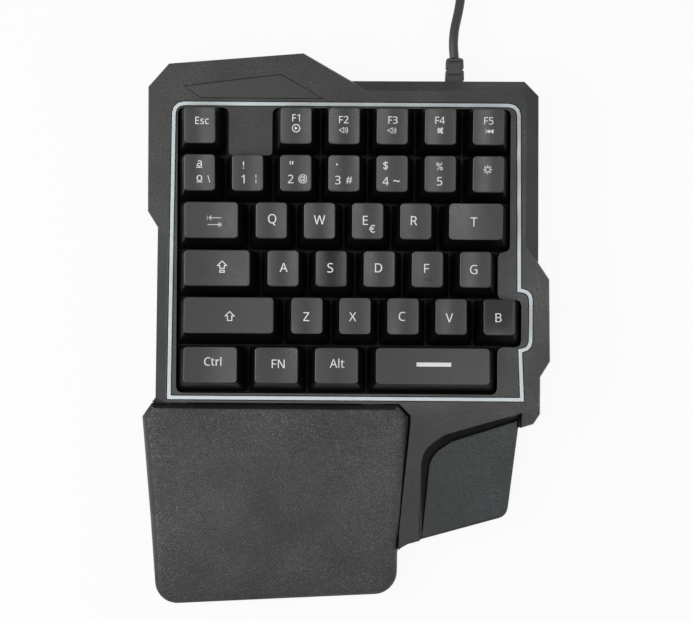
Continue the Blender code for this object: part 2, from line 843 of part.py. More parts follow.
# Sheets under the keys.
def add_sheets(dome_finish, film_finish, board_finish):
    edge = inset(inset(ring_outline(), -plate_flange), plate_skirt + clearance)
    add_object("backlight_board", prism(edge, board_low, board_low + board_thickness), board_finish)
    add_object("membrane_sheet", prism(edge, membrane_low, membrane_low + membrane_thickness), film_finish)
    sheet = add_object("dome_sheet", prism(edge, dome_sheet_low, dome_sheet_top), dome_finish)
    outsides = []
    insides = []
    for name, row, x, y, width in key_cells():
        foot = circle(x, y, dome_radius, dome_sides)
        top = circle(x, y, dome_top_radius, dome_sides)
        in_foot = circle(x, y, dome_radius - dome_wall, dome_sides)
        in_top = circle(x, y, dome_top_radius - dome_wall, dome_sides)
        outsides.append(loft([at_height(foot, dome_sheet_top - dome_sheet_thickness / 2),
                              at_height(top, dome_top)]))
        insides.append(loft([at_height(in_foot, dome_sheet_low - overrun),
                             at_height(in_top, dome_top - dome_wall)]))
    join(sheet, "dome_outsides", merged(outsides))
    cut(sheet, "dome_insides", merged(insides))


# Case top.
def add_badge(cover, finish):
    corners = [spot(*row) for row in badge_shares]
    high = deck_height + overrun
    low = deck_height - badge_thickness
    cut(cover, "badge_recess", prism(corners, low - clearance, high))
    add_object("badge_panel", prism(inset(corners, badge_gap), low, deck_height), finish)


def thumb_loop(rows, bend):
    """One edge of the thumb hollow, carried out past the case on its open sides."""
    right_x, right_y = spot(*rows[0][:5])
    out_x = field_half_x + 2 * side_border
    step_y = -field_half_y - rest_depth * thumb_step_share
    front_y = -field_half_y - rest_depth
    corners = [(right_x, right_y, 0)]
    for row in rows[1:]:
        x, y = spot(*row[:5])
        corners.append((x, y, bend if row[5] else 0))
    left_x = spot(*rows[-1][:5])[0]
    corners += [(left_x, front_y, 0), (out_x, front_y, 0), (out_x, step_y, 0), (right_x, step_y, 0)]
    return rounded(corners, 4)


def pad_outline():
    """The thumb rest follows the hollow's foot and the case's own edge, a rim's width in."""
    rear_right, rear_left, bend, _ = [spot(*row[:5]) for row in thumb_foot_shares]
    crotch = Vector(spot(*crotch_shares[0][:5]))
    corner = Vector(spot(*thumb_shares[0][:5]))
    upper = Vector(spot(*thumb_shares[1][:5]))
    front = (corner - crotch).normalized()
    side = (upper - corner).normalized()
    front_left_x = thumb_foot_shares[-1][0] * field_half_x
    front_left = crotch + front * ((front_left_x - crotch.x) / front.x)
    rear_x = corner.x + side.x * (rear_right[1] - corner.y) / side.y
    corners = [(rear_x, rear_right[1], 0), (*rear_left, 0), (*bend, thumb_bend_round),
               (front_left.x, front_left.y, 0), (corner.x, corner.y, thumb_round)]
    return inset(rounded(corners, 4), pad_rim)


def add_thumb_rest(cover, finish):
    pad = pad_outline()
    top = thumb_loop(thumb_top_shares, thumb_bend_round)
    foot = thumb_loop(thumb_foot_shares, thumb_bend_round)

    def edge_height(x, y):
        return max(arm_height(x, y), pad_height(x, y) + clearance)

    cut(cover, "thumb_hollow", loft([at_height(foot, pad_height), at_height(top, edge_height),
                                     at_height(top, deck_height + overrun)]))
    seat = inset(pad, -clearance)

    def low(x, y):
        return pad_height(x, y) - pad_thickness

    def seat_low(x, y):
        return low(x, y) - clearance

    def seat_high(x, y):
        return pad_height(x, y) + clearance

    def shoulder(x, y):
        return pad_height(x, y) - pad_chamfer

    cut(cover, "thumb_seat", prism(seat, seat_low, seat_high))
    loops = [at_height(pad, low), at_height(pad, shoulder), at_height(inset(pad, pad_chamfer), pad_height)]
    add_object("thumb_pad", loft(loops), finish)


def relief_slot(low, high):
    """The way through the rear wall for the lead."""
    x, y = spot(*lead_shares)
    return prism(rectangle(x, y - case_wall / 2, relief_neck + 2 * clearance, case_wall + 2 * overrun),
                 low, high)


def add_top_cover(finish, badge_finish, pad_finish):
    outline, deck_edge = cover_loops()
    loops = [at_height(outline, seam_top), at_height(outline, slope_foot_height),
             at_height(deck_edge, deck_height)]
    cover = add_object("top_cover", loft(loops), finish)
    start = -field_half_y - ring_round - clearance
    end = -field_half_y - rest_depth
    out = field_half_x + 2 * side_border
    wedge = [(start, deck_height), (end, arm_height(0, end)), (end, deck_height + overrun),
             (start, deck_height + overrun)]
    cut(cover, "arm_fall", side_prism(wedge, -out, out))
    # The hollow stays behind the keys' front edge; the arm in front of it is solid.
    rows = rear_left_shares[:-1] + right_rear_shares[2:]
    corners = [spot(*row[:5]) for row in rows]
    edges = [(x + row[6] * slope_width, y + row[7] * slope_width) for row, (x, y) in zip(rows, corners)]
    front_left = (corners[3][0], -field_half_y)
    front_right = (corners[4][0], -field_half_y)
    low_loop = inset(corners[:4] + [front_left, front_right] + corners[4:], case_wall)
    edge_left = (edges[3][0], -field_half_y)
    edge_right = (edges[4][0], -field_half_y)
    ceiling_wall = case_wall - slope_width * abs(rear_left_shares[0][6])
    high_loop = inset(edges[:4] + [edge_left, edge_right] + edges[4:], ceiling_wall)
    cut(cover, "cover_hollow", loft([at_height(low_loop, seam_top - overrun),
                                     at_height(low_loop, slope_foot_height - clearance),
                                     at_height(high_loop, deck_underside)]))
    ring = ring_outline()
    ledge = plate_ledge + clearance
    room = inset(ring, -plate_flange - clearance)
    opening = inset(ring, -clearance)
    cut(cover, "ring_opening", loft([at_height(room, seam_top - overrun), at_height(room, ledge),
                                     at_height(opening, ledge),
                                     at_height(opening, deck_height + overrun)]))
    # In front of the keys only a strip of the deck stands between the ring and the palm rest.
    left = min(x for x, y in room)
    right = seam_shares[2][0] * field_half_x - case_wall
    front = min(y for x, y in room)
    cut(cover, "strip_room", prism(rectangle((left + right) / 2, front, right - left, 2 * case_wall),
                                   seam_top - overrun, ledge))
    x, y = spot(*lead_shares)
    relief_high = seam_height + clearance / 2 + relief_neck / 2 + clearance
    cut(cover, "relief_slot_top", relief_slot(seam_top - overrun, relief_high))
    posts = [prism(circle(*spot(*row), post_radius, round_sides), boss_height + clearance,
                   deck_underside + sink) for row in case_screw_shares]
    join(cover, "cover_posts", merged(posts))
    add_badge(cover, badge_finish)
    add_thumb_rest(cover, pad_finish)


# Palm rest.
def palm_outline():
    """The palm rest's edge: the seam a gap away, then the case's own outline."""
    seam = [(*spot(*row[:5]), 0) for row in seam_shares]
    moved = [(x - palm_gap * (x > 0), y - palm_gap, 0) for x, y, _ in seam[:3]]
    moved += [(x - palm_gap, y, 0) for x, y, _ in seam[3:]]
    outer = [(*spot(*row[:5]), row[5]) for row in palm_left_shares]
    return rounded([moved[0]] + outer + list(reversed(moved[1:])), 4)


def palm_surface(x, y):
    """A steep step down from the keys, then a crowned slope to the front."""
    rear = spot(*seam_shares[0][:5])[1] - palm_gap
    front = -field_half_y - rest_depth
    share = (rear - y) / (rear - front)
    middle = spot(*palm_left_shares[2][:5])[0] * 0.5 + spot(*palm_left_shares[3][:5])[0] * 0.5
    across = (x - middle) / (field_half_x * palm_width_share)
    slope = palm_foot_height + (palm_front_height - palm_foot_height) * share ** palm_fall_power
    along = min(1, share + palm_crown_start_share)
    crown = palm_crown * (1 - across ** 2) * math.sin(math.pi * along)
    step_share = max(0.0, 1 - (rear - y) / palm_step)
    step = (palm_rear_height - palm_foot_height) * step_share ** palm_step_power
    return slope + crown + step


def palm_loops(outline):
    """Loops from the edge up over the rounded shoulder and across the crown."""
    rear = max(y for x, y in outline)
    middle_x = sum(x for x, y in outline) / len(outline)
    middle_y = (rear + min(y for x, y in outline)) / 2
    loops = [at_height(outline, seam_top)]
    edge = []
    for x, y in outline:
        edge.append((x, y, palm_rear_height if y > rear - palm_step else palm_edge_height))
    loops.append(edge)
    for reach in palm_shoulder_shares:
        narrow = inset(outline, palm_edge_round * reach)
        loop = []
        for x, y in narrow:
            fall = palm_edge_round * (1 - math.sqrt(max(0.0, 1 - (1 - reach) ** 2)))
            near_rear = y > rear - palm_edge_round * reach - palm_gap
            height = palm_surface(x, y) - (0 if near_rear else fall)
            loop.append((x, y, height))
        loops.append(loop)
    inner = [(x, y) for x, y, z in loops[-1]]
    for share in palm_crown_shares:
        loops.append(at_height([(x + (middle_x - x) * share, y + (middle_y - y) * share)
                                for x, y in inner], palm_surface))
    return loops


def add_palm_rest(finish):
    outline = palm_outline()
    palm = add_object("palm_rest", loft(palm_loops(outline)), finish)
    inner = inset(outline, palm_shell)
    rear = max(y for x, y in outline)

    def ceiling(x, y):
        lowest = palm_edge_height if y > rear - palm_step - palm_shell else seam_top
        return max(lowest, palm_surface(x, y) - palm_shell)

    middle_x = sum(x for x, y in inner) / len(inner)
    middle_y = (rear + min(y for x, y in inner)) / 2

    def shrunk(share):
        return [(x + (middle_x - x) * share, y + (middle_y - y) * share) for x, y in inner]

    def shallow(x, y):
        return min(palm_edge_height - palm_shell / 2, ceiling(x, y))

    hollow = [at_height(inner, seam_top - overrun), at_height(inner, shallow)]
    hollow += [at_height(shrunk(share), ceiling) for share in palm_ceiling_shares]
    cut(palm, "palm_hollow", loft(hollow))

    def in_roof(x, y):
        return palm_surface(x, y) - palm_shell / 2

    posts = [prism(circle(*spot(*row), post_radius, round_sides), boss_height + clearance, in_roof)
             for row in rest_screw_shares]
    join(palm, "palm_posts", merged(posts))


# Case bottom.
def leg_pocket(x, y):
    """Where a folded leg lies: centre of the pocket and its size."""
    rear = y + leg_thickness / 2 + clearance
    front = y + leg_thickness / 2 - leg_length - leg_finger_gap
    return rectangle(x, (rear + front) / 2, leg_width + 2 * clearance, rear - front)


def screw_bosses():
    """The round bosses that the screws go through."""
    return merged([prism(circle(*spot(*row), boss_radius, round_sides), floor_top - sink, boss_height)
                   for row in case_screw_shares + rest_screw_shares])


def support_bars():
    """Bars across the floor that carry the sheets."""
    width = 2 * field_half_x - 2 * boss_radius
    return merged([prism(rectangle(0, share * field_half_y, width, rib_bar_thickness),
                         floor_top - sink, boss_height) for share in support_bar_shares])


def leg_housings():
    """The boxes over the folded legs."""
    return merged([prism(inset(leg_pocket(*spot(*row)), -case_wall), floor_top - sink, boss_height)
                   for name, row in leg_shares])


def pin_holes(x, y, z):
    """The two holes a leg's pins turn in."""
    holes = []
    radius = leg_pin_radius + clearance
    for side in (-1, 1):
        start = x + side * leg_width / 2
        end = start + side * (leg_pin_length + 2 * clearance)
        ring = [(y + radius * math.cos(turn), z + radius * math.sin(turn))
                for turn in [2 * math.pi * step / round_sides for step in range(round_sides)]]
        holes.append(side_prism(ring, min(start, end), max(start, end)))
    return holes


def leg_pockets():
    return merged([prism(leg_pocket(*spot(*row)), underside_height - overrun,
                         boss_height - leg_pocket_roof) for name, row in leg_shares])


def screw_recesses():
    """Counterbored holes from below."""
    recesses = []
    for row in case_screw_shares + rest_screw_shares:
        x, y = spot(*row)
        head = circle(x, y, screw_head_radius, round_sides)
        hole = circle(x, y, screw_hole_radius, round_sides)
        head_top = underside_height + screw_head_depth
        recesses.append(loft([at_height(head, underside_height - overrun), at_height(head, head_top),
                              at_height(hole, head_top), at_height(hole, boss_height + overrun)]))
    return merged(recesses)


def foot_seats():
    """Shallow recesses that the rubber feet are stuck into."""
    seats = []
    for name, row in foot_shares:
        x, y = spot(*row)
        seat = cut_rectangle(x, y, foot_length + 2 * clearance, foot_width + 2 * clearance,
                             foot_chamfer)
        seats.append(prism(seat, underside_height - overrun, underside_height + foot_recess))
    return merged(seats)


def add_base(finish, foot_finish, leg_finish):
    outline = case_outline
    loops = [at_height(inset(outline, base_chamfer), underside_height),
             at_height(outline, underside_height + base_chamfer), at_height(outline, seam_height)]
    base = add_object("bottom_cover", loft(loops), finish)
    cut(base, "base_hollow", prism(inset(outline, case_wall), floor_top, seam_height + overrun))
    join(base, "base_leg_housings", leg_housings())
    join(base, "base_screw_bosses", screw_bosses())
    join(base, "base_support_bars", support_bars())
    cut(base, "base_leg_pockets", leg_pockets())
    cut(base, "base_screw_recesses", screw_recesses())
    cut(base, "base_foot_seats", foot_seats())
    for name, row in leg_shares:
        x, y = spot(*row)
        cut(base, name + "_holes", merged(pin_holes(x, y, leg_axis_height)))
        leg = add_object(name, leg_mesh(), leg_finish, x, y, leg_axis_height)
        join(leg, name + "_pins", leg_pins())
    relief_low = seam_height + clearance / 2 - relief_neck / 2 - clearance
    cut(base, "relief_slot_base", relief_slot(relief_low, seam_height + overrun))
    for name, row in foot_shares:
        x, y = spot(*row)
        low = cut_rectangle(0, 0, foot_length - 2 * sink, foot_width - 2 * sink, foot_chamfer)
        high = cut_rectangle(0, 0, foot_length, foot_width, foot_chamfer)
        top = underside_height + foot_recess - clearance
        add_object(name, loft([at_height(low, 0), at_height(high, sink), at_height(high, top)]),
                   foot_finish, x, y)


def leg_mesh():
    """A fold-out leg about its own pivot: a tapered plate with a round heel."""
    half = leg_thickness / 2
    heel = [(half * math.cos(turn), half * math.sin(turn))
            for turn in [math.radians(-90 + 45 * step) for step in range(5)]]
    toe = -leg_length + half
    profile = heel + [(toe + half, half), (toe, half / 2), (toe, -half)]
    return side_prism(profile, -leg_width / 2, leg_width / 2)


def leg_pins():
    pins = []
    for side in (-1, 1):
        ring = [(leg_pin_radius * math.cos(turn), leg_pin_radius * math.sin(turn))
                for turn in [2 * math.pi * step / round_sides for step in range(round_sides)]]
        start = side * (leg_width / 2 - sink)
        end = side * (leg_width / 2 + leg_pin_length)
        pins.append(side_prism(ring, min(start, end), max(start, end)))
    return merged(pins)


def add_controller(finish):
    x, y = spot(*controller_shares)
    low = floor_top + clearance
    top = low + controller_thickness
    board = add_object("controller_board", prism(rectangle(0, 0, controller_length, controller_width),
                                                 low, top), finish, x, y)
    chip = prism(rectangle(controller_length * chip_place_share, 0, chip_width, chip_width),
                 top - clearance, top + chip_height)
    join(board, "controller_chip", chip)


# Lead.
def square_loop(width, y, middle_z, corner):
    points = cut_rectangle(0, 0, width, width, corner)
    return [(x, y, z + middle_z) for x, z in points]


def relief_notches(middle):
    """Short notches above and below, and others at the sides, let the boot bend."""
    cutters = []
    size = relief_notch_depth + overrun
    for flat, shares in ((True, relief_flat_notch_shares), (False, relief_side_notch_shares)):
        for share, side in [(share, side) for share in shares for side in (-1, 1)]:
            width = relief_width + (relief_tip_width - relief_width) * share
            across = width * relief_notch_width_share
            station = clearance + share * relief_length
            place = side * (width / 2 - relief_notch_depth + size / 2)
            if flat:
                foot = rectangle(0, station, across, relief_notch_length)
                cutters.append(prism(foot, middle + place - size / 2, middle + place + size / 2))
            else:
                foot = rectangle(place, station, size, relief_notch_length)
                cutters.append(prism(foot, middle - across / 2, middle + across / 2))
    return merged(cutters)


def add_strain_relief(finish):
    """A notched boot outside the wall, a neck through it and a flange inside."""
    x, y = spot(*lead_shares)
    middle = seam_height + clearance / 2
    corner = relief_width * relief_corner_share
    inside = -case_wall - clearance
    stations = [(inside - relief_flange_thickness, relief_flange), (inside, relief_flange),
                (inside, relief_neck), (clearance, relief_neck), (clearance, relief_width)]
    stations.append((clearance + relief_length - relief_tip_chamfer, relief_tip_width))
    stations.append((clearance + relief_length, relief_tip_width - 2 * relief_tip_chamfer))
    loops = [square_loop(width, station, middle, corner) for station, width in stations]
    relief = add_object("strain_relief", loft(loops), finish, x, y)
    cut(relief, "relief_notches", relief_notches(middle))
    return Vector((x + centre_x, y + centre_y + clearance + relief_length, middle))


# The lead's route, in metres from the case's middle, from the boot to where the coil begins.
cord_route = (
    (0.04375, 0.11300, 0.00915), (0.04328, 0.11600, 0.00912), (0.04336, 0.11950, 0.00885),
    (0.04370, 0.12300, 0.00815), (0.04440, 0.12650, 0.00710), (0.04520, 0.13000, 0.00590),
    (0.04590, 0.13350, 0.00470), (0.04645, 0.13700, 0.00370), (0.04690, 0.14050, 0.00295),
    (0.04727, 0.14400, 0.00250), (0.04760, 0.14750, 0.00233), (0.04788, 0.15100, 0.00230),
    (0.04810, 0.15450, 0.00230), (0.04828, 0.15800, 0.00230), (0.04840, 0.16150, 0.00230),
    (0.04840, 0.16500, 0.00230), (0.04840, 0.16850, 0.00230), (0.04840, 0.17200, 0.00230),
    (0.04840, 0.17550, 0.00230), (0.04840, 0.17900, 0.00230),
)


def smooth_line(route, spacing):
    """Points read at even steps from a smooth curve through the route."""
    places = [Vector(point) for point in route]
    dense = []
    for index in range(len(places) - 1):
        before = places[max(index - 1, 0)]
        here = places[index]
        after = places[index + 1]
        beyond = places[min(index + 2, len(places) - 1)]
        for step in range(route_steps):
            t = step / route_steps
            dense.append(0.5 * ((2 * here) + (after - before) * t
                                + (2 * before - 5 * here + 4 * after - beyond) * t ** 2
                                + (3 * here - before - 3 * after + beyond) * t ** 3))
    dense.append(places[-1])
    total = sum((b - a).length for a, b in zip(dense, dense[1:]))
    count = round(total / spacing)
    points = [dense[0]]
    walked = 0
    for a, b in zip(dense, dense[1:]):
        length = (b - a).length
        while len(points) < count and walked + length >= total * len(points) / count:
            share = (total * len(points) / count - walked) / length
            points.append(a.lerp(b, share))
        walked += length
    points.append(dense[-1])
    return points, total


def eased(share):
    """A smooth step from nothing to one."""
    share = min(1.0, max(0.0, share))
    return share * share * (3 - 2 * share)


def coil_points(centre):
    """A flat coil: five turns in, a climb at the heart, then out again over them to the plug."""
    total = coil_turns_in + coil_turns_out
    count = round(total * coil_loop_points)
    points = []
    for step in range(count + 1):
        turns = step / coil_loop_points
        tail = (turns - total + coil_tail_turns) / coil_tail_turns
        radius = coil_inner_radius + coil_pitch * abs(turns - coil_turns_in) + tail_reach * eased(tail)
        climb = min(1.0, max(0.0, (turns - coil_turns_in) * 2 + 0.5))
        height = cord_rest_height + coil_pitch * climb
        height += (plug_axis_height - cord_rest_height - coil_pitch) * eased(2 * tail - 1)
        turn = 2 * math.pi * turns
        points.append(Vector((centre.x + radius * math.cos(turn), centre.y + radius * math.sin(turn),
                              height)))
    first = points[0] - Vector((0, 2 * cord_radius, 0))
    last = points[-1] - Vector((0, 2 * cord_radius, 0))
    return [first] + points + [last]


def least_gap(points, skip):
    """The narrowest space between parts of the coil that aren't next to each other."""
    best = None
    for index, here in enumerate(points):
        for other in points[index + skip:]:
            between = (here - other).length - 2 * cord_radius
            if best is None or between < best:
                best = between
    return best


def plug_loop(x, width, height, corner):
    """One loop across the plug, whose length runs along X."""
    points = cut_rectangle(0, 0, width, height, corner)
    return [(x, y, z) for y, z in points]


def add_plug(start, body_finish, shell_finish, tongue_finish):
    """The plug lies on the table and points along -Y from the coil's end."""
    boot_end = plug_boot_length
    body_end = boot_end + plug_body_length
    boot_corner = plug_boot_width * plug_boot_corner_share
    loops = [plug_loop(0, plug_boot_width, plug_boot_width, boot_corner),
             plug_loop(boot_end * plug_boot_bend_share, plug_boot_end_width, plug_boot_end_width,
                       boot_corner),
             plug_loop(boot_end, plug_body_width - plug_corner / 2, plug_body_height - plug_corner / 4,
                       plug_corner),
             plug_loop(boot_end + plug_corner, plug_body_width, plug_body_height, plug_corner),
             plug_loop(body_end, plug_body_width, plug_body_height, plug_corner)]
    body = add_object("usb_plug_body", loft(loops), body_finish)
    seat_width = plug_shell_width + 2 * clearance
    seat_height = plug_shell_height + 2 * clearance
    seat = loft([plug_loop(body_end - plug_shell_seat, seat_width, seat_height, plug_shell_wall),
                 plug_loop(body_end + overrun, seat_width, seat_height, plug_shell_wall)])
    seat_helper = cut(body, "plug_shell_seat", seat)
    near = body_end - plug_shell_seat + clearance
    far = body_end + plug_shell_length
    inner_width = plug_shell_width - 2 * plug_shell_wall
    inner_height = plug_shell_height - 2 * plug_shell_wall
    shell_loops = [plug_loop(near, plug_shell_width, plug_shell_height, plug_shell_wall),
                   plug_loop(far, plug_shell_width, plug_shell_height, plug_shell_wall),
                   plug_loop(far, inner_width, inner_height, plug_shell_wall),
                   plug_loop(near, inner_width, inner_height, plug_shell_wall)]
    shell = add_object("usb_plug_shell", loft(shell_loops, ring=True), shell_finish)
    tongue_low = -inner_height / 2 + clearance
    tongue = [[(x, y, z + tongue_low + tongue_thickness / 2)
               for y, z in rectangle(0, 0, tongue_width, tongue_thickness)]
              for x in (near, far - tongue_recess)]
    insulator = add_object("usb_plug_tongue", loft(tongue), tongue_finish)
    for thing in (body, seat_helper, shell, insulator):
        thing.rotation_euler = (0, 0, math.radians(-90))
        thing.location = start


def add_lead(finish, plug_finish, shell_finish, tongue_finish):
    exit_point = add_strain_relief(finish)
    route = [exit_point + Vector((0, cord_gap, 0))] + [Vector(point) for point in cord_route[1:]]
    line, length = smooth_line(route, cord_step)
    tube_object("cord_run", line, cord_radius, 2, finish)
    start = line[-1] + Vector((0, cord_gap + 2 * cord_radius, 0))
    outer = coil_inner_radius + coil_pitch * coil_turns_in
    centre = Vector((start.x - outer, start.y, 0))
    coil = coil_points(centre)
    tube_object("cord_coil", coil, cord_radius, 1, finish)
    coil_length = sum((b - a).length for a, b in zip(coil, coil[1:]))
    print("lead length", round(length + coil_length, 4), "of which free", round(length, 4))
    print("least gap in the coil", round(least_gap(coil, coil_loop_points // 2), 5))
    add_plug(coil[-1] - Vector((0, cord_gap, 0)), plug_finish, shell_finish, tongue_finish)


cover_finish = material("cover_plastic", (0.085, 0.083, 0.078), 0.55)
plate_finish = material("plate_plastic", (0.080, 0.080, 0.076), 0.55)
cap_finish = material("cap_plastic", (0.070, 0.070, 0.068), 0.42)
rest_finish = material("rest_grain", (0.055, 0.056, 0.053), 0.60)
pad_finish = material("pad_grain", (0.060, 0.061, 0.058), 0.58)
badge_finish = material("badge_plastic", (0.084, 0.082, 0.077), 0.50)
ring_finish = material("ring_diffuser", (0.560, 0.610, 0.640), 0.45)
base_finish = material("base_plastic", (0.050, 0.050, 0.048), 0.60)
rubber_finish = material("foot_rubber", (0.020, 0.020, 0.020), 0.80)
leg_finish = material("leg_plastic", (0.045, 0.045, 0.043), 0.55)
dome_finish = material("dome_silicone", (0.620, 0.640, 0.640), 0.50)
film_finish = material("membrane_film", (0.350, 0.420, 0.420), 0.30)
board_finish = material("light_board", (0.700, 0.700, 0.680), 0.50)
green_finish = material("controller_laminate", (0.020, 0.130, 0.050), 0.45)
cord_finish = material("lead_jacket", (0.050, 0.050, 0.052), 0.50)
plug_finish = material("plug_overmould", (0.045, 0.045, 0.047), 0.50)
steel_finish = material("steel", (0.600, 0.600, 0.600), 0.30, 1.0)
tongue_finish = material("plug_insulator", (0.800, 0.800, 0.780), 0.45)

add_base(base_finish, rubber_finish, leg_finish)
add_controller(green_finish)
add_sheets(dome_finish, film_finish, board_finish)
add_key_plate(plate_finish)
add_light_ring(ring_finish)
add_top_cover(cover_finish, badge_finish, pad_finish)
add_palm_rest(rest_finish)
add_keys(cap_finish, steel_finish)
add_lead(cord_finish, plug_finish, steel_finish, tongue_finish)
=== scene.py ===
import json
import math

import bpy
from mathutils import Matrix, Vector
from mathutils.bvhtree import BVHTree

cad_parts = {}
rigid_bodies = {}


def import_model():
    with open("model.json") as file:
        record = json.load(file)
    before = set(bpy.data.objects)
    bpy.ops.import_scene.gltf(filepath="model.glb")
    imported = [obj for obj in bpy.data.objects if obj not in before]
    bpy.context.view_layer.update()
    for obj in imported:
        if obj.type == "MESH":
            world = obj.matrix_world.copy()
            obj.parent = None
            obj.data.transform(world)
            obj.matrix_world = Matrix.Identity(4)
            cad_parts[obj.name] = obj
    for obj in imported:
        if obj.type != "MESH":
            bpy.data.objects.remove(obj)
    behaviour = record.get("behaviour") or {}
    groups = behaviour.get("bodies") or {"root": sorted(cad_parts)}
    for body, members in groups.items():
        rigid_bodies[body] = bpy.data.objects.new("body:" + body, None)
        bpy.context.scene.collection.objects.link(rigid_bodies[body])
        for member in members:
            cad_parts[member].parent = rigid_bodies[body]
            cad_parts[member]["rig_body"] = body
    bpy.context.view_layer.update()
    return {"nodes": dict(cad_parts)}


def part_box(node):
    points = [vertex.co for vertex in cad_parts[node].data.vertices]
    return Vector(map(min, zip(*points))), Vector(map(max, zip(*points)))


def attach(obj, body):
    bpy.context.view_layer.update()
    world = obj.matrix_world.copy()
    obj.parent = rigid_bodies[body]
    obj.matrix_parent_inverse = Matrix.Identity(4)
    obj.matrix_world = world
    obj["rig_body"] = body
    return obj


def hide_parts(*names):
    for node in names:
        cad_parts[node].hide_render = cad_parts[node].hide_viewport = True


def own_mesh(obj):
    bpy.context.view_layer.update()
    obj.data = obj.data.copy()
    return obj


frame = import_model()

# The camera looks straight down on the caps from about two thirds of a metre, a little behind the
# middle of the case and turned by less than half a degree.
camera_place = (0.0003, 0.0078, 0.630)
camera_roll = math.radians(0.4)
camera_lens = 78.86
sensor_width = 36
nearest_seen = 0.01
bpy.ops.object.camera_add(location=camera_place, rotation=(0, 0, camera_roll))
camera = bpy.context.object
camera.data.lens = camera_lens
camera.data.sensor_width = sensor_width
camera.data.clip_start = nearest_seen
bpy.context.scene.camera = camera
bpy.context.scene.view_settings.view_transform = "Standard"

# The lead is a thin round jacket of soft vinyl over four fine wires. It leaves the boot level,
# bows a little, sinks to the table and is put away in a flat coil of two layers.
lead_radius = 0.0019
lead_rest = 0.0023
lead_sunk = 0.0010
lead_facets = 5
coil_pitch = 0.0043
coil_middle_radius = 0.0228
turns_in = 5
turns_out = 5.5
points_per_turn = 36
climb_turns = 0.5
tail_turns = 0.5
plug_axis = 0.00405
tail_reach = 0.00645
coil_start = Vector((0.0484, 0.1829, lead_rest))
lead_route = (
    (0.04328, 0.11600, 0.00912), (0.04336, 0.11950, 0.00885), (0.04370, 0.12300, 0.00815),
    (0.04440, 0.12650, 0.00710), (0.04520, 0.13000, 0.00590), (0.04590, 0.13350, 0.00470),
    (0.04645, 0.13700, 0.00370), (0.04690, 0.14050, 0.00295), (0.04727, 0.14400, 0.00250),
    (0.04760, 0.14750, 0.00233), (0.04788, 0.15100, 0.00230), (0.04810, 0.15450, 0.00230),
    (0.04828, 0.15800, 0.00230), (0.04840, 0.16150, 0.00230), (0.04840, 0.16500, 0.00230),
    (0.04840, 0.16850, 0.00230), (0.04840, 0.17200, 0.00230), (0.04840, 0.17550, 0.00230),
    (0.04840, 0.17900, 0.00230),
)


def eased(share):
    """A smooth step from nothing to one."""
    share = min(1.0, max(0.0, share))
    return share * share * (3 - 2 * share)


def smooth_route(places, steps=2):
    """Points on a smooth curve through given places."""
    points = []
    for index in range(len(places) - 1):
        before = places[max(index - 1, 0)]
        here = places[index]
        after = places[index + 1]
        beyond = places[min(index + 2, len(places) - 1)]
        for step in range(steps):
            t = step / steps
            points.append(0.5 * ((2 * here) + (after - before) * t
                                 + (2 * before - 5 * here + 4 * after - beyond) * t ** 2
                                 + (3 * here - before - 3 * after + beyond) * t ** 3))
    return points + [places[-1]]


def coil_line():
    """The coil winds in on the table, climbs at its heart and winds out again to the plug."""
    total = turns_in + turns_out
    inner = coil_middle_radius - coil_pitch * turns_in / 2
    centre_x = coil_start.x - inner - coil_pitch * turns_in
    points = []
    for step in range(round(total * points_per_turn) + 1):
        turns = step / points_per_turn
        tail = (turns - total + tail_turns) / tail_turns
        radius = inner + coil_pitch * abs(turns - turns_in) + tail_reach * eased(tail)
        climb = min(1.0, max(0.0, (turns - turns_in) / climb_turns + 0.5))
        height = lead_rest + coil_pitch * climb
        height += (plug_axis - lead_rest - coil_pitch) * eased(2 * tail - 1)
        angle = 2 * math.pi * turns
        points.append(Vector((centre_x + radius * math.cos(angle),
                              coil_start.y + radius * math.sin(angle), height)))
    return points + [points[-1] - Vector((0, 2 * lead_radius + lead_sunk, 0))]


pit_detail = 3
pit_roughness = 0.65
pit_share = 0.5
cloud_scale = 45
cloud_detail = 4
mixed_low = 0.55
mixed_high = 0.95


